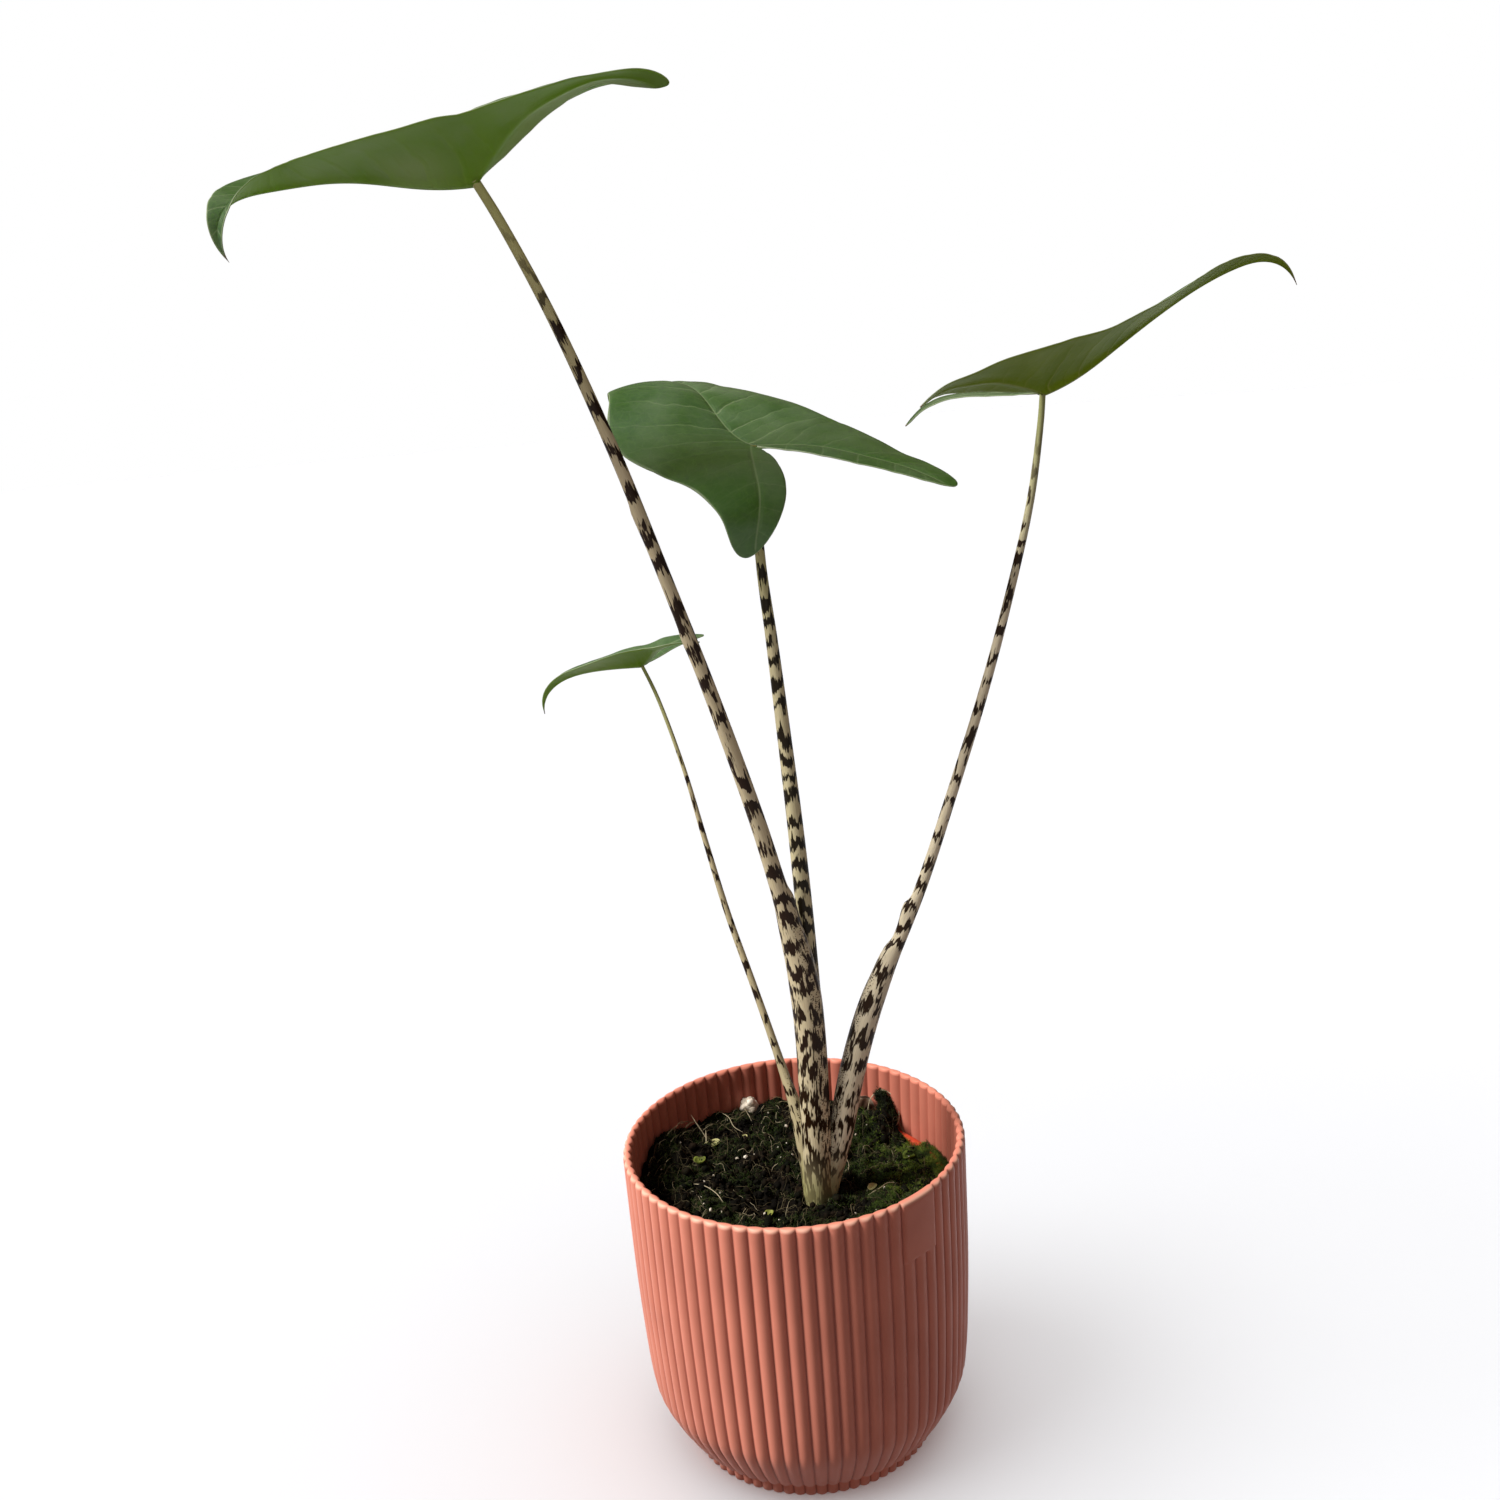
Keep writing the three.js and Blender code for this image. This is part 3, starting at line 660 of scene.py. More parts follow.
        # Speckles of about 0.7 mm along the strip by the sheath's margin.
        dots = add("TexVoronoi", {"Vector": read["stem"], "Scale": 1.15, "Randomness": 1.0}, "Distance")
        dotted = add("MapRange", (dots, 0.30, 0.42, 0.9, 0.0))
        dotted = add("Math", (dotted, read["strip"]), operation="MULTIPLY")
        return add("Math", (marks, dotted), operation="MAXIMUM")


class Face(Enum):
    """The two faces of a leaf blade."""

    UPPER = "upper"
    UNDER = "under"


@dataclass(frozen=True)
class LeafCuticle(Finish):
    """Waxed leaf blade: green tissue under a satin cuticle, paler along its veins.

    Light that falls on one face glows through on the other, because the blade is thin.
    """

    face: Face
    light: str
    deep: str
    vein: str
    glow: str
    roughness: float
    gloss: float = 0.5
    dry: str = "#8d8574"
    through: float = 0.3  # share of the light that passes through the blade
    vein_share: float = 0.55  # how pale the veins are
    # Pale wax and painted sheen share this tint.
    wax_and_sheen_tint: str = "#8f9a7c"
    wax_and_sheen_share: float = 0.2  # how much pale wax and painted sheen lie in patches on the face
    painted_lobe_sheen: float = 0.0  # painted sheen on each lobe, between its rib and the notch
    painted_collar_sheen: float = 0.0  # painted sheen ahead of the petiole's joint
    # Painted shade: the deep tint of the lobe ends.
    lobes: str = "#123a06"
    painted_lobe_shade: float = 0.0  # painted shade, deepening the tissue towards the lobe ends

    def surface(self, add: Adder) -> Socket:
        """Add the finish's nodes and return its shader."""
        flat = add("Attribute", out="Vector", attribute_name="flat")
        ahead, across, _ = add("SeparateXYZ", (flat,)).node.outputs
        read = {"flat": flat, "ahead": ahead, "across": across}
        for name in ("rib", "near", "dry"):
            read[name] = add("Attribute", out="Fac", attribute_name=name)
        # Noise in cells of so many millimetres: tissue, wandering veins, waxy patches and the net.
        cells = (("cloud", 22, 4.0, 0), ("wander", 14, 2.0, 0), ("waxy", 30, 2.0, 0), ("wobble", 5, 1.0, 1))
        for name, size, detail, out in cells:
            scales = {"Vector": flat, "Scale": 1 / size, "Detail": detail}
            read[name] = add("TexNoise", scales, out)
        vein, groove = self.veins(add, read)
        net = self.net(add, read)
        wax_and_sheen = self.wax(add, read)
        cloudy = add("MapRange", (read["cloud"], 0.3, 0.72))
        # Painted shade: from 18 mm behind the petiole, the tissue darkens towards the lobe ends.
        back = add("MapRange", (ahead, -18.0, -55.0, 0.0, self.painted_lobe_shade))
        paled = add("Math", (vein, self.vein_share, net), operation="MULTIPLY_ADD", use_clamp=True)
        # The margin is a thin pale line, 0.4 mm wide.
        rim = add("MapRange", (read["near"], 0.15, 0.5, 0.6, 0.0))
        layers = [(cloudy, self.deep), (back, self.lobes), (wax_and_sheen, self.wax_and_sheen_tint)]
        layers += [(paled, self.vein), (rim, self.vein), (read["dry"], self.dry)]
        colour, glow = self.light, self.glow
        for share, over in layers:
            colour = add("Mix", {FACTOR: share, UNDER_IT: colour, OVER_IT: over}, **COLOUR_MIX)
        # The wax and the painted sheen also pale the light that glows through.
        for share, over in ((wax_and_sheen, self.wax_and_sheen_tint), (read["dry"], self.dry)):
            glow = add("Mix", {FACTOR: share, UNDER_IT: glow, OVER_IT: over}, **COLOUR_MIX)
        # Veins lie in grooves above and stand out below; the net does so too, but faintly.
        relief = add("Math", (net, 1.2, groove), operation="MULTIPLY_ADD")
        # Relief dies out within 5 mm of the margin, so narrow tips and lobe ends are smooth.
        inner = add("MapRange", (read["near"], 1.0, 6.0))
        relief = add("Math", (relief, inner), operation="MULTIPLY")
        height = {"Height": relief, "Strength": 0.7, "Distance": 0.0004}
        bump = add("Bump", height, invert=self.face is Face.UPPER)
        rough = add("MapRange", (read["cloud"], 0.0, 1.0, self.roughness - 0.1, self.roughness + 0.1))
        look = {"Base Color": colour, "Roughness": rough, "Normal": bump, "IOR": 1.43}
        shader = add("BsdfPrincipled", look | {"Specular IOR Level": self.gloss})
        through = add("BsdfTranslucent", {"Color": glow, "Normal": bump})
        return add("MixShader", (self.through, shader, through))

    def veins(self, add: Adder, read: dict[str, Socket]) -> list[Socket]:
        """Draw the side veins, the midrib and the lobes' ribs.

        Args:
            add: adds a node.
            read: the values kept at the blade's points, and the noises.

        Returns:
            The veins, and the wider grooves that they lie in.
        """
        counted = add("Attribute", out="Vector", attribute_name="veins")
        count, pace, vigour = add("SeparateXYZ", (counted,)).node.outputs
        # Veins wander a little: up to a tenth of their spacing.
        wandered = add("Math", (read["wander"], 0.5, count), operation="MULTIPLY_ADD")
        lines = []  # distance from the vein, half widths of vein and groove, strength, limit
        # Side veins 0.5 mm wide, and weaker ones half way between them.
        for shift, half_width, strength in ((-0.25, 0.28, 1.0), (0.25, 0.16, 0.35)):
            moved = add("Math", (wandered, shift), operation="ADD")
            whole = add("Math", (moved,), operation="ROUND")
            gap = add("Math", (moved, whole), operation="SUBTRACT")
            gap = add("Math", (gap,), operation="ABSOLUTE")
            gap = add("Math", (gap, pace), operation="MULTIPLY")
            lines.append((gap, 1.6 * half_width, 6.4 * half_width, strength, vigour))
        # The midrib tapers from 0.9 mm at the petiole, and each lobe has a rib of its own.
        breadth = add("MapRange", (read["ahead"], 0.0, 110.0, 1.0, 2.6))
        ahead = add("Math", (read["ahead"], -2.0), operation="GREATER_THAN")
        for name, half_width, strength, gate in (("across", 0.5, 1.0, ahead), ("rib", 0.42, 0.8, 1.0)):
            off = add("Math", (read[name],), operation="ABSOLUTE")
            off = add("Math", (off, breadth), operation="MULTIPLY")
            lines.append((off, 1.5 * half_width, 4.5 * half_width, strength, gate))
        drawn = [0.0, 0.0]
        for off, vein, groove, strength, gate in lines:
            for number, reach in enumerate((vein, groove)):
                spans = (off, 0.0, reach, strength, 0.0)
                line = add("MapRange", spans, interpolation_type="SMOOTHSTEP")
                line = add("Math", (line, gate), operation="MULTIPLY")
                drawn[number] = add("Math", (drawn[number], line), operation="MAXIMUM")
        return drawn

    def wax(self, add: Adder, read: dict[str, Socket]) -> Socket:
        """Lay the pale wax and painted sheen: in patches, beside the notch and ahead of the petiole's joint.

        Args:
            add: adds a node.
            read: the values kept at the blade's points, and the noises.

        Returns:
            How much pale wax and painted sheen the face has, from 0 to 1.
        """
        wax_and_sheen = add("MapRange", (read["waxy"], 0.45, 0.7, 0.0, self.wax_and_sheen_share))
        # Painted sheen: beside the notch, and ahead of the petiole's joint.
        by_notch = add("MapRange", (read["rib"], 0.0, -3.5, 0.0, self.painted_lobe_sheen))
        away = add("VectorMath", (read["flat"], (19.0, 7.0, 0.0)), "Value", operation="DISTANCE")
        by_collar = add("MapRange", (away, 18.0, 3.0, 0.0, self.painted_collar_sheen))
        for patch in (by_notch, by_collar):
            wax_and_sheen = add("Math", (wax_and_sheen, patch), operation="MAXIMUM")
        return wax_and_sheen

    def net(self, add: Adder, read: dict[str, Socket]) -> Socket:
        """Draw the net of small veins, with meshes of about 3.5 mm.

        Args:
            add: adds a node.
            read: the values kept at the blade's points, and the noises.

        Returns:
            The net, faint and pale.
        """
        bend = (read["wobble"], (4.0, 4.0, 0.0), read["flat"])
        bent = add("VectorMath", bend, operation="MULTIPLY_ADD")
        cells = {"Vector": bent, "Scale": 1 / 3.5}
        meshes = add("TexVoronoi", cells, "Distance", feature="DISTANCE_TO_EDGE")
        return add("MapRange", (meshes, 0.0, 0.12, 0.05, 0.0))


@dataclass(frozen=True)
class MattePaper(Finish):
    """Plain pale studio paper for the floor: even, with no shine."""

    name: str = "studio_paper"
    colour: str = "#f2f1ee"

    def surface(self, add: Adder) -> Socket:
        """Add the finish's nodes and return its shader."""
        look = {"Base Color": self.colour, "Roughness": 0.9, "Specular IOR Level": 0.1}
        return add("BsdfPrincipled", look)


# ---- cover pot
@dataclass
class CoverPot:
    """The ribbed cover pot: a chain of upright lens-shaped ribs, with a bare label panel."""

    height: float = 129.0
    ribs: int = 72
    phase: float = -2.0
    depth: float = 1.15
    sharpness: float = 2.2  # how round the ribs are between their creases
    foot: tuple = ((0, 50.7), (0.4, 51.4), (3.4, 51.9), (6.3, 52.3), (6.75, 52.5), (6.95, 53.1), (7.1, 54.6))
    belly: tuple = ((7.4, 55.1), (16, 60.3), (28, 65.2), (48, 66.9), (84, 68.3), (127.7, 68.8))
    inside: tuple = ((13, 54.2), (28, 61.3), (127.7, 65.2))
    floor: float = 4.0
    recess: tuple = ((0, 47.4), (0.8, 46.6), (0.8, 9), (1.1, 8.2))
    rim_round: float = 1.7
    panel: tuple = (-57.0, -42.0)
    panel_foot: float = 104.0
    places: tuple = (0, 0.05, 0.14, 0.26, 0.4, 0.5, 0.6, 0.74, 0.86, 0.95)
    panel_levels: tuple = (-0.9, -0.6, -0.3, 0, 0.3, 0.5)  # rings where the panel begins
    floor_round: tuple = ((9, 2.6), (6, 4.3), (4.6, 5.4))  # height, and how far in from the wall
    floor_rings: tuple = (46.8, 24)
    painted_inside_shade: float = 0.65  # painted shade on the wall inside, over the soil

    def angles(self) -> Array:
        """Return the angles of the points round the pot, closer together at the creases."""
        pitch = 360 / self.ribs
        rib, share = np.meshgrid(np.arange(self.ribs), self.places, indexing="ij")
        return (self.phase + (rib + share) * pitch).ravel()

    def dip(self, angles: Array, height: float) -> Array:
        """Return how deep the wall lies behind the ribs' crowns.

        Args:
            angles: where round the pot.
            height: how high on the wall.

        Returns:
            0 on the crowns and on the label panel, 1 in the creases.
        """
        share = ((angles - self.phase) * self.ribs / 360) % 1
        ribs = np.abs(2 * share - 1) ** self.sharpness
        low, high = self.panel
        across = ((angles - low) % 360) / (high - low)
        plain = np.abs(2 * np.clip(across, 0, 1) - 1) ** 26
        first, last = self.panel_foot + self.panel_levels[0], self.panel_foot + self.panel_levels[-1]
        return ribs + (plain - ribs) * step(first, last, height) * (across < 1)

    def wall(self, angles: Array, height: float, side: int) -> Array:
        """Return the radius of the ribbed wall.

        Args:
            angles: where round the pot.
            height: how high on the wall.
            side: 1 for the outside, -1 for the inside.

        Returns:
            The radius at each angle.
        """
        if side > 0 and height < self.belly[0][0]:
            radius = np.interp(height, *zip(*self.foot, self.belly[0]))
        else:
            radius = smooth(height, *zip(*(self.belly if side > 0 else self.inside)))
        fade = 1.0 if side > 0 else step(self.inside[0][0], self.inside[0][0] + 4, height)
        return radius - side * self.depth * fade * self.dip(angles, height)

    def build(self) -> None:
        """Build the pot and dress it."""
        angles, shoulder = self.angles(), self.height - self.rim_round
        panel = self.panel_foot + np.array(self.panel_levels)
        outer = [z for z, _ in self.foot] + sorted([*np.linspace(self.belly[0][0], shoulder, 44), *panel])
        inner = sorted([*np.linspace(self.inside[0][0], shoulder, 26), *panel], reverse=True)
        rings = [(r + 0 * angles, z) for z, r in reversed(self.recess)]
        rings += [(self.wall(angles, z, 1), z) for z in outer]
        outside, within = self.wall(angles, shoulder, 1), self.wall(angles, shoulder, -1)
        rim_from = len(rings)
        turns = np.linspace(0, math.pi, 11)[1:-1]
        for turn in turns:
            share = abs(math.cos(turn)) ** 0.85 * (1 if turn < math.pi / 2 else -1)
            radius = (outside + within) / 2 + (outside - within) / 2 * share
            rings.append((radius, shoulder + self.rim_round * math.sin(turn)))
        rim_to = len(rings)
        rings += [(self.wall(angles, z, -1), z) for z in inner]
        rings += [(self.inside[0][1] + 0 * angles - drop, z) for z, drop in self.floor_round]
        rings += [(r + 0 * angles, self.floor) for r in self.floor_rings]
        points = np.array([circle(r, np.radians(angles), z) for r, z in rings])
        skin = rings_skin(points, np.array([0, 0, self.recess[-1][0]]), np.array([0, 0, self.floor]))
        # Painted shade: darkest in the creases and all over the wall inside, fading over the rim.
        creases = []
        for number, (radius, z) in enumerate(rings):
            over = step(shoulder, shoulder + 0.6 * self.rim_round, z)
            crease = step(0.55, 1.0, self.dip(angles, z)) * (radius.std() > 0.05)
            creases.append(np.maximum(crease, self.painted_inside_shade if number >= rim_to else 0.0) * (1 - 0.6 * over))
        # A painted highlight runs along the outer side of the rim's rounding, fainter in the notches.
        highlight_rings = np.zeros((len(rings), len(angles)))
        crowns = 1 - 0.75 * self.dip(angles, self.height)
        highlight_rings[rim_from:rim_to] = np.outer(bell((turns - 0.7) / 0.5), crowns)
        skin.values["crease"] = np.concatenate([[0], np.ravel(creases), [0]])
        skin.values["lip"] = np.concatenate([[0], np.ravel(highlight_rings), [0]])
        finish = MouldedPolypropylene("salmon_polypropylene", "#e39382", "#843f35").build()
        make_piece("cover_pot_shell", skin, [finish], ["cover_pot"])


@dataclass
class NurseryPot:
    """The grower's pot inside: thin, tapered, with a flanged rim and drain holes."""

    sides: int = 120
    wall: float = 1.1
    foot: tuple = (4.3, 44.0)
    shoulder: tuple = (97.0, 60.4)
    flange: tuple = ((97.4, 61.5), (97.9, 62.0), (103.2, 62.35), (103.8, 62.2), (104, 61.8))
    rim: float = 104.0
    drains: int = 8
    drain_radius: float = 4.5
    drain_circle: float = 30.0

    def outer(self, z: float) -> float:
        """Return the radius of the tapered wall's outside at a height."""
        (low, foot), (high, top) = self.foot, self.shoulder
        return foot + (top - foot) / (high - low) * (z - low)

    def inner(self, z: float) -> float:
        """Return the radius of the wall's inside at a height."""
        return self.outer(z) - self.wall

    def build(self) -> None:
        """Build the pot and dress it."""
        low, high = self.foot[0], self.shoulder[0]
        floor = low + self.wall
        profile = [(low, 20), (low, 43.4), (low + 0.5, 44)]
        profile += [(z, self.outer(z)) for z in np.linspace(low + 1, high, 12)]
        profile += self.flange
        profile += [(self.rim, self.inner(98.2) + 0.4), (103.7, self.inner(98.2)), (98.3, self.inner(98))]
        profile += [(z, self.inner(z)) for z in np.linspace(high, floor + 0.6, 12)]
        profile += [(floor, self.inner(floor) - 0.6), (floor, 20)]
        rings = np.array([circle(r, full_turn(self.sides), z) for z, r in profile])
        skin = rings_skin(rings, np.array([0, 0, low]), np.array([0, 0, floor]))
        skin.fill(crease=0.0, lip=0.0)
        finish = MouldedPolypropylene("orange_nursery_polypropylene", "#b8442c", "#7a2416", 0.5).build()
        self.drill(make_piece("nursery_pot_shell", skin, [finish], ["nursery_pot"]))

    def drill(self, pot: Object) -> None:
        """Cut the drain holes through the pot's floor.

        Args:
            pot: the pot, whose mesh is changed.
        """
        pins = []
        for number in range(self.drains):
            angle = 2 * math.pi * number / self.drains
            x, y = self.drain_circle * math.cos(angle), self.drain_circle * math.sin(angle)
            ring = circle(self.drain_radius, full_turn(32), 0.0, x, y)
            levels = np.array([ring + (0, 0, self.foot[0] - 2), ring + (0, 0, self.foot[0] + 4)])
            pins.append(rings_skin(levels, *levels.mean(1)))
        tool = place_mesh("drain_tool", joined(pins))
        holes = pot.modifiers.new("drain_holes", "BOOLEAN")
        holes.operation, holes.solver, holes.object = "DIFFERENCE", "EXACT", tool
        bpy.context.view_layer.update()
        graph = bpy.context.evaluated_depsgraph_get()
        drilled = bpy.data.meshes.new_from_object(pot.evaluated_get(graph), depsgraph=graph)
        pot.modifiers.clear()
        pot.data = drilled
        bpy.data.objects.remove(tool)


# ---- soil
MOSS_LEAF = Skin(
    np.array([(0.5, 0, 0), (-0.25, 0.43, 0), (-0.25, -0.43, 0), (0, 0, 1)], float),
    [(0, 2, 1), (0, 1, 3), (1, 2, 3), (2, 0, 3)],
)


@dataclass
class SoilBed:
    """The peat bed: its top, loose crumbs, moss, root threads, perlite and litter."""

    stalk: tuple = (9.4, -3.6)
    hole: float = 8.3
    edge: float = 64.3
    edge_right: float = 59.0
    right: float = 18.0
    heap_from: float = 26.0
    heap_to: float = 58.0
    at_stalk: float = 103.4
    at_edge: float = 110.6
    by_rim: float = 103.2
    # Mounds: x, y, height, spread: the stub at the back, and crumbs against the wall on the left.
    mounds: tuple = ((41, 41, 10, 6.5), (-54, 29, 6, 13))
    # Hollows beside the stalk, the same way; they are bare of moss.
    hollows: tuple = ((-13, -8, 5.5, 10), (27, 1, 3.5, 5.5))
    corm: tuple = ((57, 0), (59, 6.5), (66, 11.6), (76, 13.4), (87, 11), (92, 7.6))
    clearance: float = 0.3
    rings: int = 92
    around: int = 330
    noise: Noise = Noise(11)
    # Long threads, each its stations and its radius.
    arches: tuple = (
        (((33, 47, 108), (36, 50, 116), (41, 50, 119), (46, 47, 116), (47, 44, 108), (44, 41, 104)), 0.24),
        (((-43, 43, 118), (-41, 41, 115), (-38, 38, 111), (-36, 35, 107.5)), 0.2),
        (((-37, 38, 113), (-37, 34, 110), (-37.5, 30, 107)), 0.2),
        (((-22, 60, 113), (-19, 55, 110.5), (-17, 50, 107.6), (-18, 45, 106.4)), 0.16),
        (((-30, 52, 113), (-27, 49, 112), (-25, 45, 109.6), (-21, 43, 107.5)), 0.16),
        (((20, 8, 105), (22, 6, 109), (23, 5, 111)), 0.14),
        (((-10, 14, 104.5), (-9, 12, 108), (-7, 11, 110)), 0.12),
        (((-47, 22, 108.5), (-42, 18, 108), (-37, 20, 107.5), (-33, 17, 106.6), (-30, 12, 106)), 0.17),
        (((-44, 4, 108), (-38, 1, 108.4), (-33, -4, 107.6), (-30, -12, 108)), 0.17),
        (((28, -10, 105), (33, -8, 106.4), (37, -4, 106.2), (41, -3, 105)), 0.15),
    )
    # Bits of leaf: x, y, length, breadth, heading, curl, tone.
    bits: tuple = (
        (-34.5, 33.5, 10.5, 4.6, 35, 150, 1.05),
        (-39.5, 17.0, 7.0, 5.0, 80, 200, 0.55),
        (30.5, -2.5, 6.0, 3.2, 60, 120, 1.2),
        (48.0, 18.5, 5.6, 5.0, 20, 60, 0.35),
        (-20.5, 40.0, 3.6, 2.2, 100, 90, 1.1),
        (-12.0, -14.0, 5.5, 3.4, 75, 110, 0.7),
        (4.5, 20.5, 3.2, 1.8, 10, 90, 1.2),
    )
    white_lump: tuple = (-17.5, 60.0, 111.2)
    scale_place: tuple = (32.0, 50.5, 109.5)

    def heap(self, angles: Array) -> Array:
        """Return how far the soil is heaped up at an angle: 1 all round, 0 on the right."""
        away = np.degrees(np.arccos(np.cos(np.radians(angles - self.right))))
        return np.clip((away - self.heap_from) / (self.heap_to - self.heap_from), 0, 1)

    def edge_at(self, angles: Array) -> Array:
        """Return the radius of the soil's edge, which reaches over the rim where it is heaped."""
        reach = np.clip(2 * self.heap(angles) - 1, 0, 1)
        return self.edge_right + (self.edge - self.edge_right) * reach

    def swell(self, x: Array, y: Array, swells: tuple) -> Array:
        """Return the height that rounded swells, such as the mounds, add at each place."""
        return sum(rise * bell(np.hypot(x - px, y - py) / spread) for px, py, rise, spread in swells)

    def bed(self, x: Array, y: Array, share: Array, angles: Array) -> Array:
        """Return the height of the bed before crumbs.

        Args:
            x, y: the places.
            share: how far each lies from the stalk, 0, to the edge, 1.
            angles: its direction from the stalk.

        Returns:
            The height at each place.
        """
        edge = self.by_rim + (self.at_edge - self.by_rim) * np.clip(3 * self.heap(angles), 0, 1)
        height = self.at_stalk + (edge - self.at_stalk) * share**1.4
        return height + self.swell(x, y, self.mounds) - self.swell(x, y, self.hollows)

    def crumble(self, x: Array, y: Array) -> Array:
        """Return the lumps and hollows of the top.

        Args:
            x, y: the places.

        Returns:
            What they add to the height at each place.
        """
        flat = np.stack([x, y, 0 * x], -1)
        clods = 2 * np.abs(self.noise.at(flat / 8.5))
        lumps = 2 * np.abs(self.noise.at(flat / 3.8 + 40))
        grit = self.noise.layers(flat / 1.7 + 80, 2)
        return 2.6 * clods + 1.3 * lumps + 0.5 * grit - 2.4

    def height(self, x: Array, y: Array) -> Array:
        """Return the height of the soil at places on its top.

        Args:
            x, y: the places.

        Returns:
            The height at each place.
        """
        share = np.full_like(x, 0.5)
        for _ in range(8):
            from_x = x - self.stalk[0] * (1 - share)
            from_y = y - self.stalk[1] * (1 - share)
            angles = np.degrees(np.arctan2(from_y, from_x))
            reach = np.hypot(from_x, from_y)
            share = np.clip((reach - self.hole) / (self.edge_at(angles) - self.hole), 0, 1)
        return self.bed(x, y, share, angles) + self.crumble(x, y)

    def mossy(self, x: Array, y: Array) -> Array:
        """Return how mossy places are: thick on the right, in patches elsewhere.

        Args:
            x, y: the places.

        Returns:
            0 for bare peat to 1 for full moss.
        """
        right = np.exp(-(((x - 46) / 17) ** 2) - ((y - 8) / 25) ** 2)
        patches = step(-0.45, 0.25, self.noise.at(np.stack([x, y, 0 * x + 3], -1) / 12))
        return np.clip(1.3 * right + 0.85 * patches - 0.05 - 0.3 * self.swell(x, y, self.hollows), 0, 1)

    def sprig_share(self, x: Array, y: Array) -> Array:
        """Return how likely a sprig of moss is at each place."""
        return self.mossy(x, y) ** 1.3

    def cushion_share(self, x: Array, y: Array) -> Array:
        """Return how likely a sprig of the thick cushion is at each place."""
        return step(0.55, 1.0, self.mossy(x, y))

    def build(self) -> None:
        """Build the bed and everything that lies on it."""
        peat = MoistPeat("moist_peat_mix").build()
        self.build_top(peat)
        self.build_crumbs(peat)
        self.build_moss()
        self.build_threads()
        self.build_perlite()
        self.build_litter()
        self.build_stub(peat)
        self.build_scale()

    def build_top(self, peat: bpy.types.Material) -> None:
        """Build the closed bed, with its top, its outside and the hollow that the corm fills.

        Args:
            peat: its material.
        """
        turned = full_turn(self.around)
        angles = np.degrees(turned)
        x, y = self.stalk
        hollow = [(r + self.clearance, min(z, 91) - self.clearance) for z, r in self.corm[1:-1]]
        rings = [circle(r, turned, z, x, y) for r, z in [*hollow, (self.hole, 92.5)]]
        for share in np.linspace(0, 1, self.rings):
            radius = self.hole + (self.edge_at(angles) - self.hole) * share
            px, py = x * (1 - share) + radius * np.cos(turned), y * (1 - share) + radius * np.sin(turned)
            top = self.bed(px, py, np.full_like(px, share), angles)
            loose = self.crumble(px, py) * (1 if 0 < share < 1 else 0.6)
            rings.append(np.stack([px, py, top + loose], -1))
        for reach, drop in ((1, 0.0), (0, 0.1)):
            radius = self.edge_right - 0.2
            radius = radius + (self.edge_at(angles) - radius) * reach
            low = self.by_rim - 1 + (105.5 - self.by_rim) * np.clip(4 * self.heap(angles), 0, 1) - drop
            rings.append(circle(radius, turned, low))
        rings += [circle(58.8, turned, 98), circle(42.9, turned, 5.7)]
        corm_foot = np.array([x, y, self.corm[0][0] - self.clearance])
        skin = rings_skin(np.array(rings)[::-1], np.array([0, 0, 5.7]), corm_foot)
        skin.values["moss"] = 0.8 * self.mossy(skin.points[:, 0], skin.points[:, 1])
        skin.values["tone"] = 0.5 + 0.5 * self.noise.at(skin.points / 4)
        make_piece("peat_bed", skin, [peat], ["soil"])

    def scatter(
        self,
        draw: np.random.Generator,
        count: int,
        edge: float,
        weight: Callable[[Array, Array], Array] | None = None,
    ) -> tuple[Array, Array]:
        """Draw places on the top, clear of the stalk.

        Args:
            draw: the random draw.
            count: how many places to keep.
            edge: how far from the wall places stop.
            weight: how likely a place at x and y is, from 0 to 1; None for all alike.

        Returns:
            The places' x and y.
        """
        kept_x, kept_y = np.empty(0), np.empty(0)
        while len(kept_x) < count:
            x, y = draw.uniform(-self.edge, self.edge, (2, 4000))
            angles = np.degrees(np.arctan2(y, x))
            fits = np.hypot(x, y) < self.edge_at(angles) - edge
            fits &= np.hypot(x - self.stalk[0], y - self.stalk[1]) > self.hole + 0.6
            if weight is not None:
                fits &= draw.uniform(0, 1, len(x)) < weight(x, y)
            kept_x, kept_y = np.append(kept_x, x[fits]), np.append(kept_y, y[fits])
        return kept_x[:count], kept_y[:count]

    def build_crumbs(self, peat: bpy.types.Material) -> None:
        """Build the loose crumbs of peat, from grit to 3 mm: roughened solids of twenty faces.

        Args:
            peat: their material.
        """
        draw = np.random.default_rng(21)
        golden = (1 + 5**0.5) / 2
        corners = [np.roll((0, a, b * golden), -k) for k in range(3) for a in (-1, 1) for b in (-1, 1)]
        points = unit(np.array(corners, float))
        far = np.linalg.norm(points[:, None] - points[None], axis=-1)
        faces = []
        for a, b, c in combinations(range(len(points)), 3):
            if max(far[a, b], far[b, c], far[a, c]) < 1.1:
                out = np.dot(np.cross(points[b] - points[a], points[c] - points[a]), points[a])
                faces.append((a, b, c) if out > 0 else (a, c, b))
        skins = []
        for _ in range(5):
            rough = Skin(points * draw.uniform(0.62, 1.2, (12, 1)), faces)
            x, y = self.scatter(draw, 1000, 1.5)
            sizes = 0.42 + 0.32 * draw.gamma(1.5, 0.9, len(x))
            sizes = np.minimum(sizes, 2.0)[:, None] * draw.uniform(0.6, 1.25, (len(x), 3))
            places = np.stack([x, y, self.height(x, y) + 0.25 * sizes[:, 0]], -1)
            skins.append(copies(rough, places, turns_of(draw, len(x)), sizes))
        skin = joined(skins)
        skin.values["moss"] = 0.45 * self.mossy(skin.points[:, 0], skin.points[:, 1])
        make_piece("peat_crumbs", skin, [peat])

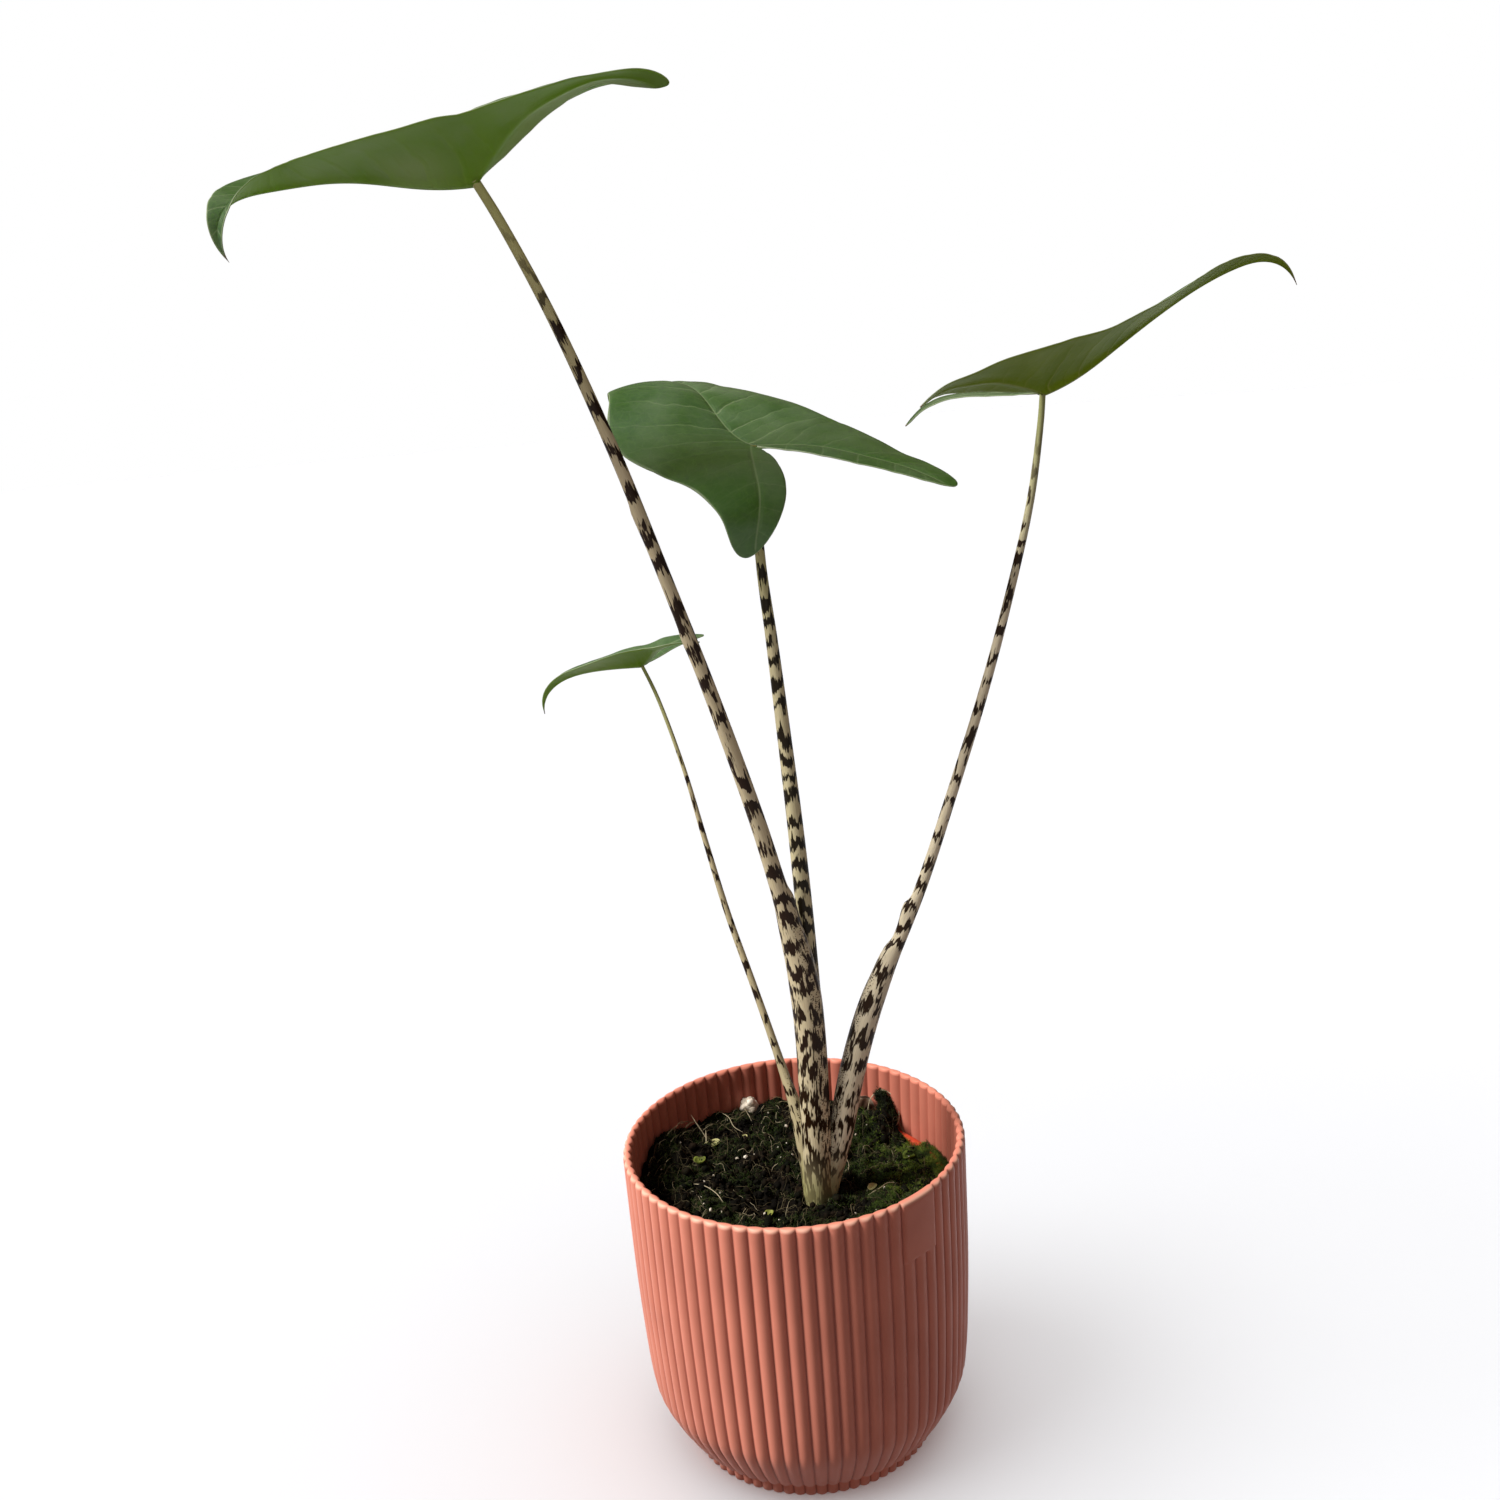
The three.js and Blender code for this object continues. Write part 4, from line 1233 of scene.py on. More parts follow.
    def build_moss(self) -> None:
        """Build the moss: sprigs of short pointed leaves on the peat."""
        draw = np.random.default_rng(33)
        stops = ((0.1, "#18230e"), (0.4, "#2c3d17"), (0.7, "#41571c"), (1.0, "#5c7524"), (1.25, "#7f9236"))
        finish = TonedGrowth("living_moss", stops, through="#5c7a1e").build()
        x, y = self.scatter(draw, 7800, 0.4, self.sprig_share)
        sprigs = self.sprigs(draw, np.stack([x, y, self.height(x, y)], -1), 6)
        make_piece("moss_sprigs", sprigs, [finish])
        x, y = self.scatter(draw, 3000, 0.2, self.cushion_share)
        x, y = x[x > 20], y[x > 20]
        # Moss has crept over the nursery pot's rim at the front right.
        turn = np.radians(draw.uniform(-42, 27, 950))
        reach = draw.uniform(56.5, 64.6, len(turn))
        x, y = np.append(x, reach * np.cos(turn)), np.append(y, reach * np.sin(turn))
        low = np.where(np.hypot(x, y) > 57.5, 103.9, self.height(x, y))
        cushion = self.sprigs(draw, np.stack([x, y, low], -1), 9)
        make_piece("moss_cushion", cushion, [finish])

    def sprigs(self, draw: np.random.Generator, feet: Array, count: int) -> Skin:
        """Return sprigs of pointed leaves, brighter where the moss is lush.

        Args:
            draw: the random draw.
            feet: where each sprig stands, one a row.
            count: how many leaves each has.

        Returns:
            The sprigs as one skin with a "tone".
        """
        middle = np.repeat(feet - (0, 0, 0.1), count, axis=0)
        spread = draw.normal(0, 0.5, middle.shape) * (1, 1, 0.5)
        spans = ((0.2, 0.42), (0.12, 0.24), (0.8, 2.2))
        sizes = np.stack([draw.uniform(low, high, len(middle)) for low, high in spans], -1)
        skin = copies(MOSS_LEAF, middle + spread, turns_of(draw, len(middle), 75), sizes)
        reach = np.hypot(skin.points[:, 0], skin.points[:, 1])
        skin.points[:, :2] *= np.minimum(1, 65.0 / np.maximum(reach, 1))[:, None]
        lush = step(18, 46, skin.points[:, 0]) * step(-40, -12, skin.points[:, 1])
        lush = lush * step(-0.5, 0.3, self.noise.at(skin.points * (1, 1, 0) / 5.5))
        skin.values["tone"] = 0.5 * skin.values["tone"] + 0.6 * lush
        return skin

    def thread(self, points: Array, radius: float, tone: float) -> Skin:
        """Return a thin tapered thread with four sides.

        Args:
            points: the path that it follows.
            radius: how thick it is.
            tone: its tone, from dark at 0 to pale at 1.

        Returns:
            The thread, closed at its ends.
        """
        ahead = unit(np.gradient(points, axis=0))
        side = unit(np.cross(ahead, (0.31, 0.17, 0.93)))
        ends = np.minimum(np.linspace(0.25, 4, len(points)), np.linspace(5, 0.2, len(points)))
        thick = (radius * np.clip(ends, 0, 1))[:, None]
        rings = tube(points, thick, side, np.cross(side, ahead), full_turn(4))
        skin = rings_skin(rings, points[0], points[-1])
        skin.fill(tone=tone)
        return skin

    def build_threads(self) -> None:
        """Build the root threads and fibres that lie on the peat, and a few that stand out of it."""
        draw = np.random.default_rng(45)
        skins = []
        for number, (start_x, start_y) in enumerate(zip(*self.scatter(draw, 620, 2.0))):
            steps = int(draw.integers(8, 20))
            heading = draw.uniform(0, 2 * math.pi)
            bends = np.cumsum(draw.normal(0, 0.34, steps)) + heading
            pace = draw.uniform(0.5, 1.35)
            px = start_x + np.cumsum(np.cos(bends)) * pace
            py = start_y + np.cumsum(np.sin(bends)) * pace
            inward = np.minimum(1, 61 / np.hypot(px, py))
            px, py = px * inward, py * inward
            arch = draw.uniform(0.2, 2.6) * np.sin(np.linspace(0, math.pi, steps))
            pz = self.height(px, py) + 0.3 + arch
            # Every sixth thread is a pale one; most of the others are brown.
            pale = draw.uniform(0.55, 0.95) if number % 6 == 0 else draw.uniform(0.2, 0.6)
            radius = draw.uniform(0.05, 0.09) + 0.05 * (number % 19 == 0)
            skins.append(self.thread(np.stack([px, py, pz], -1), radius, pale))
        for stations, radius in self.arches:
            skins.append(self.thread(path_through(np.array(stations, float), 7), radius, 0.85))
        # Fine rootlets stand up along the back wall.
        share = np.linspace(0, 1, 9)
        for turn in np.radians(draw.uniform(88, 172, 46)):
            reach, rise, bend = draw.uniform(54, 62), draw.uniform(2.5, 7.5), draw.normal(0, 0.07)
            away = turn + bend * share + 0.06 * np.sin(4 * share + 9 * bend)
            px, py = (reach - 3 * share) * np.cos(away), (reach - 3 * share) * np.sin(away)
            foot = float(self.height(px[:1], py[:1])[0]) - 0.5
            points = np.stack([px, py, foot + rise * np.sin(share * draw.uniform(1.2, 2.6))], -1)
            skins.append(self.thread(points, draw.uniform(0.06, 0.1), draw.uniform(0.2, 0.8)))
        stops = ((0.1, "#1d170e"), (0.55, "#443e2a"), (0.9, "#807a5f"), (1.25, "#b9b29a"))
        finish = TonedGrowth("dried_root_fibre", stops, roughness=0.7).build()
        make_piece("root_threads", joined(skins), [finish])

    def lump(self, radius: float, seed: int, rows: int = 12, around: int = 18, rough: float = 0.2) -> Skin:
        """Return a closed rounded lump about its own origin.

        Args:
            radius: its size.
            seed: the seed of its noise.
            rows: how many rings it has.
            around: how many points each ring has.
            rough: how much the noise roughens it.

        Returns:
            The lump.
        """
        rise = np.linspace(-math.pi / 2, math.pi / 2, rows + 2)[1:-1]
        out = circle(np.cos(rise)[:, None], full_turn(around), np.sin(rise)[:, None])
        swell = 1 + rough * Noise(seed).layers(out.reshape(-1, 3) * 2.1, 2).reshape(out.shape[:2])
        ends = np.array([(0, 0, -0.95), (0, 0, 0.95)])
        return rings_skin(radius * out * swell[..., None], *(radius * ends))

    def build_perlite(self) -> None:
        """Build the grains of perlite, and the granular white lump at the back."""
        draw = np.random.default_rng(57)
        grain = self.lump(1.0, 3, rows=5, around=8, rough=0.35)
        x, y = self.scatter(draw, 84, 3.0)
        sizes = (0.28 + draw.gamma(1.4, 0.16, len(x)))[:, None] * draw.uniform(0.7, 1.25, (len(x), 3))
        places = np.stack([x, y, self.height(x, y) + 0.35], -1)
        skins = [copies(grain, places, turns_of(draw, len(x)), sizes)]
        middle = np.array(self.white_lump)
        knob = self.lump(1.0, 5, rows=9, around=14, rough=0.4)
        places = middle + unit(draw.normal(size=(26, 3))) * draw.uniform(2.0, 3.4, (26, 1)) * (1.05, 0.8, 1.0)
        turns = turns_of(draw, 26)
        skins.append(copies(knob, places, turns, draw.uniform(1.1, 2.1, (26, 1)) * np.ones(3)))
        heart = self.lump(3.4, 6)
        heart.points = heart.points + middle
        heart.fill(tone=0.6)
        stops = ((0.0, "#8b857b"), (0.6, "#c9c4ba"), (1.2, "#e9e6df"))
        finish = TonedGrowth("expanded_perlite", stops, roughness=0.85).build()
        make_piece("perlite_grains", joined([*skins, heart]), [finish])

    def build_litter(self) -> None:
        """Build the dry curled leaf bits and the small green leaves on the peat."""
        u, v = np.meshgrid(np.linspace(-1, 1, 15), np.linspace(-1, 1, 9), indexing="ij")
        faces = [face[::-1] for face in grid_faces(*u.shape)]
        skins = []
        for x, y, length, breadth, heading, curl, tone in self.bits:
            across = (0.5 * breadth * np.sqrt(np.maximum(0, 1 - u**2)) + 0.02) * v
            bend, radius = math.radians(curl) / 2 * u, length / math.radians(curl)
            along, lift = radius * np.sin(bend), radius * (1 - np.cos(bend))
            lift = lift * 0.55 + 0.35 * breadth * v**2 * (1 - u**2)
            turn = math.radians(heading)
            px = x + along * math.cos(turn) - across * math.sin(turn)
            py = y + along * math.sin(turn) + across * math.cos(turn)
            base = float(self.height(np.array([x]), np.array([y]))[0]) + 0.7
            top = np.stack([px, py, base + lift + 0.15], -1).reshape(-1, 3)
            skins.append(closed_sheet(top, top - (0, 0, 0.3), faces))
            skins[-1].fill(tone=tone)
        stops = ((0.3, "#3f5a1c"), (0.7, "#77893c"), (1.0, "#a8b062"), (1.4, "#d2d49a"))
        finish = TonedGrowth("dried_leaf_scraps", stops, roughness=0.55, through="#a8b35a").build()
        make_piece("leaf_litter", joined(skins), [finish])

    def build_stub(self, peat: bpy.types.Material) -> None:
        """Build the rotted stub at the back wall.

        Args:
            peat: its material.
        """
        stations = np.array([(41, 44, 104), (41.5, 45.5, 110), (41, 47.5, 115), (39.5, 49.5, 118.6)], float)
        path = path_through(stations, 15)
        thick = np.interp(np.linspace(0, 1, len(path)), (0, 0.5, 0.85, 1), (5.0, 3.2, 2.4, 1.3))
        rings = path[:, None] + thick[:, None, None] * circle(1.0, full_turn(48))
        skin = rings_skin(rings, path[0], path[-1] + (0, 0, 0.5))
        out = unit((skin.points - (41, 46.5, 0)) * (1, 1, 0.05))
        rough = 1 - 2 * np.abs(self.noise.at(skin.points / 3.1))
        fine = self.noise.at(skin.points / 1.1)
        skin.points = skin.points + out * (1.5 * rough + 0.7 * fine - 0.5)[:, None]
        self.build_stub_moss(skin)
        skin.fill(moss=0.35, tone=0.2)
        make_piece("rotted_stub", skin, [peat])

    def build_stub_moss(self, stub: Skin) -> None:
        """Build the dark moss that has grown over the stub.

        Args:
            stub: the stub's skin.
        """
        draw = np.random.default_rng(71)
        feet = stub.points[draw.integers(0, len(stub.points), 420)]
        moss = self.sprigs(draw, feet[feet[:, 2] > 104], 5)
        moss.values["tone"] = 0.55 * moss.values["tone"]
        stops = ((0.1, "#0d120a"), (0.45, "#1f2a12"), (0.8, "#3a4a1e"))
        finish = TonedGrowth("stub_moss_growth", stops, through="#42551f").build()
        make_piece("stub_moss", moss, [finish])

    def build_scale(self) -> None:
        """Build the papery brown scale beside the stub: a crumpled disc on edge."""
        turn, out = np.meshgrid(full_turn(36), np.linspace(0.04, 1, 9))
        wrinkle = 0.5 * np.sin(5 * turn + 3 * out) * out
        flat = np.stack([5.2 * out * np.cos(turn), 1.6 * out**2 + wrinkle, 6.4 * out * np.sin(turn)], -1)
        disc = flat.reshape(-1, 3) + self.scale_place
        points = np.concatenate([disc, disc + (0, 0.35, 0)])
        (rows, columns), count = turn.shape, turn.size
        faces = grid_faces(rows, columns, wrap=True)
        faces += [tuple(count + i for i in reversed(face)) for face in faces]
        last = count - columns
        for i in range(columns):
            j = (i + 1) % columns
            faces.append((last + j, last + i, count + last + i, count + last + j))
            faces.append((i, j, count + j, count + i))
        scale = Skin(points, faces, {"tone": np.tile(out.ravel(), 2)})
        stops = ((0.2, "#3b2c24"), (0.75, "#5a463a"), (1.05, "#83705f"), (1.3, "#a5978a"))
        finish = TonedGrowth("papery_bud_scale", stops, roughness=0.35, through="#8a6a54").build()
        make_piece("bud_scale", scale, [finish])


# ---- petioles
@dataclass(frozen=True)
class Swelling:
    """A local swelling of a petiole: the tip of a sheath, or a joint."""

    height: float
    angle: float
    rise: float
    length: float
    spread: float = 55.0


@dataclass
class Petiole:
    """One leaf stalk, on the path of its solid, from the corm to the blade."""

    name: str
    stations: tuple
    bands: tuple
    colours: tuple  # cream, dark, green and half dark, as BandedPetiole takes them
    gaps: tuple  # its gap_low and gap_high
    reach: tuple  # where the stalk's head sinks into the blade
    head_radius: float
    strip_angle: float = 0.0
    strip_turn: float = 0.0  # how much the sheath's margin turns by its top
    strip_from: float = 100.0
    strip_to: float = 100.0
    strip_width: float = 45.0
    swellings: tuple = ()
    sides: int = 44
    steps: int = 14

    def build(self) -> Object:
        """Build the stalk and dress it."""
        stations = np.array([*self.stations, (*self.reach, self.head_radius)], float)
        path = path_through(stations[:, :3], self.steps)
        share = np.linspace(0, len(stations) - 1, len(path))
        radius = smooth(share, np.arange(len(stations)), stations[:, 3])
        ahead = unit(np.gradient(path, axis=0))
        side = unit((1.0, 0, 0) - ahead[:, :1] * ahead)
        turned = full_turn(self.sides)
        height, angles = path[:, 2][:, None], np.degrees(turned)[None]
        lip, speckled = self.sheath(height, angles)
        thick = radius[:, None] + 0 * angles + lip
        for bump in self.swellings:
            off = (angles - bump.angle + 180) % 360 - 180
            down = (height - bump.height) / bump.length
            lift = np.where(down > 0, bell(down * 3.2), bell(down))
            thick = thick + bump.rise * lift * bell(off / bump.spread)
        skin = rings_skin(tube(path, thick, side, np.cross(ahead, side), turned), path[0], path[-1])
        length = np.concatenate([[0], np.cumsum(np.linalg.norm(np.diff(path, axis=0), axis=1))])
        # The count of bands stops half way to a next one at both ends, where the skin is plain.
        marks = np.array(self.bands, float)
        places = [marks[0] - 6, *marks, marks[-1] + 6]
        counts = [0.5, *range(1, len(marks) + 1), len(marks) + 0.5]
        values = {
            "stem": circle(thick, turned, length[:, None]),
            "band": np.interp(path[:, 2], places, counts),
            "top": length / length[-1],
            "foot": 0.8 * (1 - step(104, 128, path[:, 2])),
            "strip": speckled,
        }
        for name, value in values.items():
            # A value of a ring holds for all its points; the centres take those of their rings.
            flat = np.repeat(value, self.sides) if value.ndim == 1 else value.reshape(-1, *value.shape[2:])
            skin.values[name] = np.concatenate([flat[:1], flat, flat[-1:]])
        finish = BandedPetiole(self.name + "_skin", *self.colours, *self.gaps).build()
        return make_piece(self.name + "_skin", skin, [finish], [self.name])

    def sheath(self, height: Array, angles: Array) -> tuple[Array, Array]:
        """Return the sheath's margin: a low step that fades round the stalk, and a strip beside it.

        Args:
            height: the points' heights.
            angles: their angles round the stalk.

        Returns:
            How far the step stands out at each point, and how speckled the strip is, from 0 to 1.
        """
        rise = np.clip((height - 95) / (self.strip_to - 95), 0, 1)
        off = (angles - self.strip_angle - self.strip_turn * rise + 180) % 360 - 180
        open_share = 1 - step(self.strip_to - 9, self.strip_to, height)
        lip = 0.45 * np.where(off > 0, bell(off / 6), np.exp(off / 40)) * open_share
        strip = step(-self.strip_width - 14, -self.strip_width, off) * (1 - step(6, 14, off))
        return lip, strip * open_share * step(self.strip_from, self.strip_from + 12, height)


# ---- leaf blades
@dataclass
class LeafHalf:
    """One half of a blade: its basal lobe, its fold and how its margin droops."""

    lobe: float
    spread: float
    taper: float
    pitch: tuple
    yaw: tuple
    roll: tuple
    fold: tuple
    droop: float
    curl: float = 0.0  # how far the lobe's end turns about its own rib
    curl_from: float = 0.7  # where on the lobe that starts, 1 being its end
    pinch: float = 0.0  # how far the lobe narrows before its end
    pinch_at: float = 0.74


@dataclass
class LeafBlade:
    """One arrow-shaped blade, bent, folded and veined."""

    name: str
    junction: tuple
    heading: float
    front: float
    half_width: float
    power: float
    shoulder: float
    pitch: tuple
    yaw: tuple
    roll: tuple
    left: LeafHalf
    right: LeafHalf
    finishes: tuple  # of the upper and the under face
    seed: int = 1
    thickness: float = 0.7
    ridge: float = 1.5  # how far the midrib stands out below, at the petiole
    dry_from: float = 0.985
    dry_lobes: float = 1.1  # where on each lobe the dry end starts, 1 being its end
    rows_back: int = 64
    rows_front: int = 120
    columns: int = 40
    stations: tuple = (0, 0.25, 0.5, 0.75, 1)
    lobe_veins: tuple = (0.16, 0.32, 0.5, 0.68, 0.84)
    front_veins: tuple = (0.02, 0.125, 0.24, 0.36, 0.48, 0.6, 0.71, 0.81, 0.9)

    def outline(self, half: LeafHalf, u: Array) -> tuple[Array, Array, Array]:
        """Return where a row lies along the blade, and its inner and outer edges.

        Args:
            half: the half of the blade.
            u: -1 at the lobe's end, 0 at the petiole, 1 at the tip.

        Returns:
            The row's place along the midrib, and the distances of its two edges from it.
        """
        front, back = np.clip(u, 0, 1), np.clip(-u, 0, 1)
        wide = self.half_width * (1 - front) ** self.power * (1 + self.shoulder * front)
        middle = 0.5 * self.half_width * (1 - back) + half.spread * back
        breadth = 0.5 * self.half_width * np.sqrt(1 - back**2) * (1 - half.taper * back)
        breadth = breadth * (1 - half.pinch * np.exp(-(((back - half.pinch_at) / 0.08) ** 2)))
        x = np.where(u >= 0, u * self.front, u * half.lobe)
        return x, np.where(u >= 0, 0, middle - breadth), np.where(u >= 0, wide, middle + breadth)

    def spine_angle(self, half: LeafHalf, name: str, u: Array) -> Array:
        """Return one angle of the spine.

        Args:
            half: the half of the blade.
            name: "pitch", "yaw" or "roll".
            u: the rows, -1 at the lobe's end to 1 at the tip.

        Returns:
            The angle at each row, in radians.
        """
        own, back = getattr(self, name), getattr(half, name)
        ahead = smooth(np.clip(u, 0, 1), self.stations, own)
        slope = (own[1] - own[0]) / (self.stations[1] - self.stations[0]) * half.lobe / self.front
        behind = smooth(np.clip(u, -1, 0), (-1, -0.5, 0), (back[1], back[0], own[0]), slope)
        return np.radians(np.where(u >= 0, ahead, behind))

    def spine(self, half: LeafHalf, u: Array) -> list[Array]:
        """Return the spine that a half hangs from.

        Args:
            half: the half of the blade.
            u: the rows, -1 at the lobe's end to 1 at the tip.

        Returns:
            Its points at each row, and the directions across it and out of it.
        """
        fine = np.concatenate([np.linspace(-1, 0, 200)[:-1], np.linspace(0, 1, 200)])
        pitch, roll = self.spine_angle(half, "pitch", fine), self.spine_angle(half, "roll", fine)
        yaw = self.spine_angle(half, "yaw", fine) + math.radians(self.heading)
        along = np.stack([np.cos(pitch) * np.cos(yaw), np.cos(pitch) * np.sin(yaw), np.sin(pitch)], -1)
        level = np.stack([-np.sin(yaw), np.cos(yaw), 0 * yaw], -1)
        turned = level * np.cos(roll)[:, None] + np.cross(along, level) * np.sin(roll)[:, None]
        x = np.where(fine >= 0, fine * self.front, fine * half.lobe)
        paces = 0.5 * (along[1:] + along[:-1]) * np.diff(x)[:, None]
        points = np.concatenate([np.zeros((1, 3)), np.cumsum(paces, axis=0)])
        points = points - points[199] + np.array(self.junction)
        read = []
        for values in (points, turned, np.cross(along, turned)):
            read.append(np.stack([np.interp(u, fine, values[:, k]) for k in range(3)], -1))
        return [read[0], unit(read[1]), unit(read[2])]

    def rib(self, half: LeafHalf, back: Array) -> Array:
        """Return how far from the midrib's line the lobe's own rib lies, going back to its end."""
        return 0.93 * half.spread * (1 - (1 - back) ** 1.9)

    def vein_field(self, half: LeafHalf, x: Array, y: Array) -> Array:
        """Return the side veins as a field.

        Args:
            half: the half of the blade.
            x: the places' distances ahead of the petiole.
            y: the places' distances from the midrib.

        Returns:
            The count of veins passed, their pace and their vigour, one row a place.
        """
        inward = (x < 0) & (y < self.rib(half, np.clip(-x / half.lobe, 0, 0.97)))
        crossings = []  # where each vein would lie at each place's y, from the lobe's end to the tip
        for number, start in enumerate(self.lobe_veins):
            lean = np.where(inward, 0.8, 0.34 - 0.2 * number)
            crossings.insert(0, -start * half.lobe + lean * (y - self.rib(half, start)))
        for number, start in enumerate(self.front_veins):
            # Side veins leave the midrib almost squarely, and lean on more towards the tip.
            wide = float(self.outline(half, start)[2])
            bent = 0.16 * wide * (np.maximum(y, 0) / wide) ** 3
            crossings.append(start * self.front + (0.1 + 0.13 * number) * y + bent)
        crossings = np.array(crossings)
        gaps = np.maximum(np.diff(crossings, axis=0), 0.8)
        count = np.clip((x - crossings[:-1]) / gaps, 0, 1).sum(0)
        count += np.minimum(0, (x - crossings[0]) / gaps[0])
        count += np.maximum(0, (x - crossings[-1]) / gaps[-1])
        within = np.clip(count.astype(int), 0, len(gaps) - 1)
        pace = 0.85 * gaps[within, np.arange(len(x))]
        ahead = np.clip(x / self.front, 0, 1)
        share = np.clip(y / (0.9 * self.half_width * (1 - 0.6 * ahead)), 0, 1)
        vigour = (1 - 0.8 * share) * np.where(x < 0, 0.62, 1 - 0.3 * ahead)
        return np.stack([count, pace, vigour], -1)

    def rib_distance(self, half: LeafHalf, places: Array) -> Array:
        """Return the distance from the lobe's rib.

        Args:
            half: the half of the blade.
            places: places on the flattened half, one a row.

        Returns:
            The distance of each place, below nothing on the rib's inner side.
        """
        back = np.linspace(0, 0.95, 18)
        path = np.stack([-back * half.lobe, self.rib(half, back)], -1)
        start, stretch = path[:-1][None], np.diff(path, axis=0)[None]
        off = places[:, None] - start
        share = np.clip((off * stretch).sum(-1) / np.maximum((stretch**2).sum(-1), 1e-9), 0, 1)
        away = np.linalg.norm(off - share[..., None] * stretch, axis=-1).min(1)
        line = self.rib(half, np.clip(-places[:, 0] / half.lobe, 0, 0.97))
        return np.where((places[:, 0] < 0) & (places[:, 1] < line), -away, away)

    def half_skin(self, half: LeafHalf, side: int, noise: Noise) -> Skin:
        """Return the middle surface of one half.

        Args:
            half: the half of the blade.
            side: 1 for the left half, -1 for the right.
            noise: the noise of its waves.

        Returns:
            Its points and faces, with the values that the finishes and the faces need.
        """
        turn = np.linspace(-math.pi / 2, 0, self.rows_back, endpoint=False)
        u = np.concatenate([np.sin(turn), np.linspace(0, 1, self.rows_front)])
        x, inner, outer = self.outline(half, u)
        points, across, normal = self.spine(half, u)
        y = inner[:, None] + (outer - inner)[:, None] * np.linspace(0, 1, self.columns)
        fold = np.radians(smooth(x, (-half.lobe, 0, 0.5 * self.front, self.front), half.fold))[:, None]
        bend = math.radians(half.droop) / self.half_width
        out = (np.sin(fold) - np.sin(fold - bend * y)) / bend
        lift = (np.cos(fold - bend * y) - np.cos(fold)) / bend
        curl = np.radians(half.curl) * step(half.curl_from, 1.0, -u)[:, None]
        aside = y - 0.5 * (inner + outer)[:, None]
        out, lift = out - aside * (1 - np.cos(curl)), lift + aside * np.sin(curl)
        places = np.stack([x[:, None] + 0 * y, y], -1).reshape(-1, 2)
        rib, veins = self.rib_distance(half, places), self.vein_field(half, *places.T)
        lift = lift + self.relief(places, rib, veins, noise, side).reshape(y.shape)
        grid = points[:, None] + side * out[..., None] * across[:, None] + lift[..., None] * normal[:, None]
        share = np.clip(places[:, 0] / self.front, 0, 1)
        ridge = np.where(places[:, 0] > -2, bell(places[:, 1] / (1.9 - share)), 0) * (1 - share) ** 1.3
        lobe_ridge = 0.5 * bell(rib / 1.5) * np.clip(1 + places[:, 0] / half.lobe, 0, 1)
        near = np.minimum(outer[:, None] - y, np.where(u[:, None] < 0, y - inner[:, None], 99)).ravel()
        dry_tip = step(self.dry_from, self.dry_from + 0.006, share)
        dry_lobe = step(self.dry_lobes, self.dry_lobes + 0.02, -places[:, 0] / half.lobe)
        values = {
            "flat": np.stack([places[:, 0], side * places[:, 1], 0 * near], -1),
            "veins": veins,
            "rib": rib,
            "near": np.minimum(near, np.maximum(self.front - places[:, 0], 0)),
            "dry": np.maximum(dry_tip, dry_lobe),
            "ridge": self.ridge * np.maximum(ridge, lobe_ridge),
        }
        faces = [face[::-1] if side > 0 else face for face in grid_faces(*y.shape)]
        return Skin(grid.reshape(-1, 3), faces, values)

    def relief(self, places: Array, rib: Array, veins: Array, noise: Noise, side: int) -> Array:
        """Return how far the blade swells between its veins and waves at its margin.

        Args:
            places: places on the flattened half, one a row.
            rib: their distances from the lobe's rib.
            veins: the field of the side veins at them.
            noise: the noise of the waves.
            side: 1 for the left half, -1 for the right.

        Returns:
            How far each place is lifted.
        """
        count, pace, vigour = veins.T
        off = np.abs(count - np.round(count)) * pace
        ahead = np.where(places[:, 0] > 0, places[:, 1], 99)
        low = np.maximum(0.7 * vigour * bell(off / 2.2), bell(ahead / 2.6))
        low = np.maximum(low, 0.8 * bell(rib / 2.4))
        size = self.half_width / 47.8
        wave = noise.at(np.stack([places[:, 0], side * places[:, 1], 0 * low], -1) / (19 * size))
        outward = np.clip(places[:, 1] / self.half_width, 0, 1)
        return size * (-0.5 * low + 0.55 * wave * outward)

    def build(self) -> Object:
        """Build the blade and dress its two faces."""
        noise = Noise(self.seed)
        halves = [self.half_skin(self.left, 1, noise), self.half_skin(self.right, -1, noise)]
        middle = welded(joined(halves))
        mesh = bpy.data.meshes.new("middle")
        mesh.from_pydata(middle.points.tolist(), [], middle.faces)
        normals = np.empty(3 * len(middle.points))
        mesh.vertex_normals.foreach_get("vector", normals)
        normals = normals.reshape(-1, 3)
        bpy.data.meshes.remove(mesh)
        near, ridge = middle.values["near"], middle.values.pop("ridge")
        thick = 0.5 * self.thickness * (0.4 + 0.6 * np.sqrt(np.clip(near / 1.4, 0, 1)))
        upper = middle.points + normals * thick[:, None]
        under = middle.points - normals * (thick + ridge)[:, None]
        skin = closed_sheet(upper, under, middle.faces)
        skin.values = {name: np.concatenate([value, value]) for name, value in middle.values.items()}
        # The upper face's finish reaches over the margin's narrow band.
        skin.finish_of = np.zeros(len(skin.faces), int)
        skin.finish_of[len(middle.faces) : 2 * len(middle.faces)] = 1
        finishes = [finish.build() for finish in self.finishes]
        return make_piece(self.name + "_leaf", skin, finishes, [self.name])


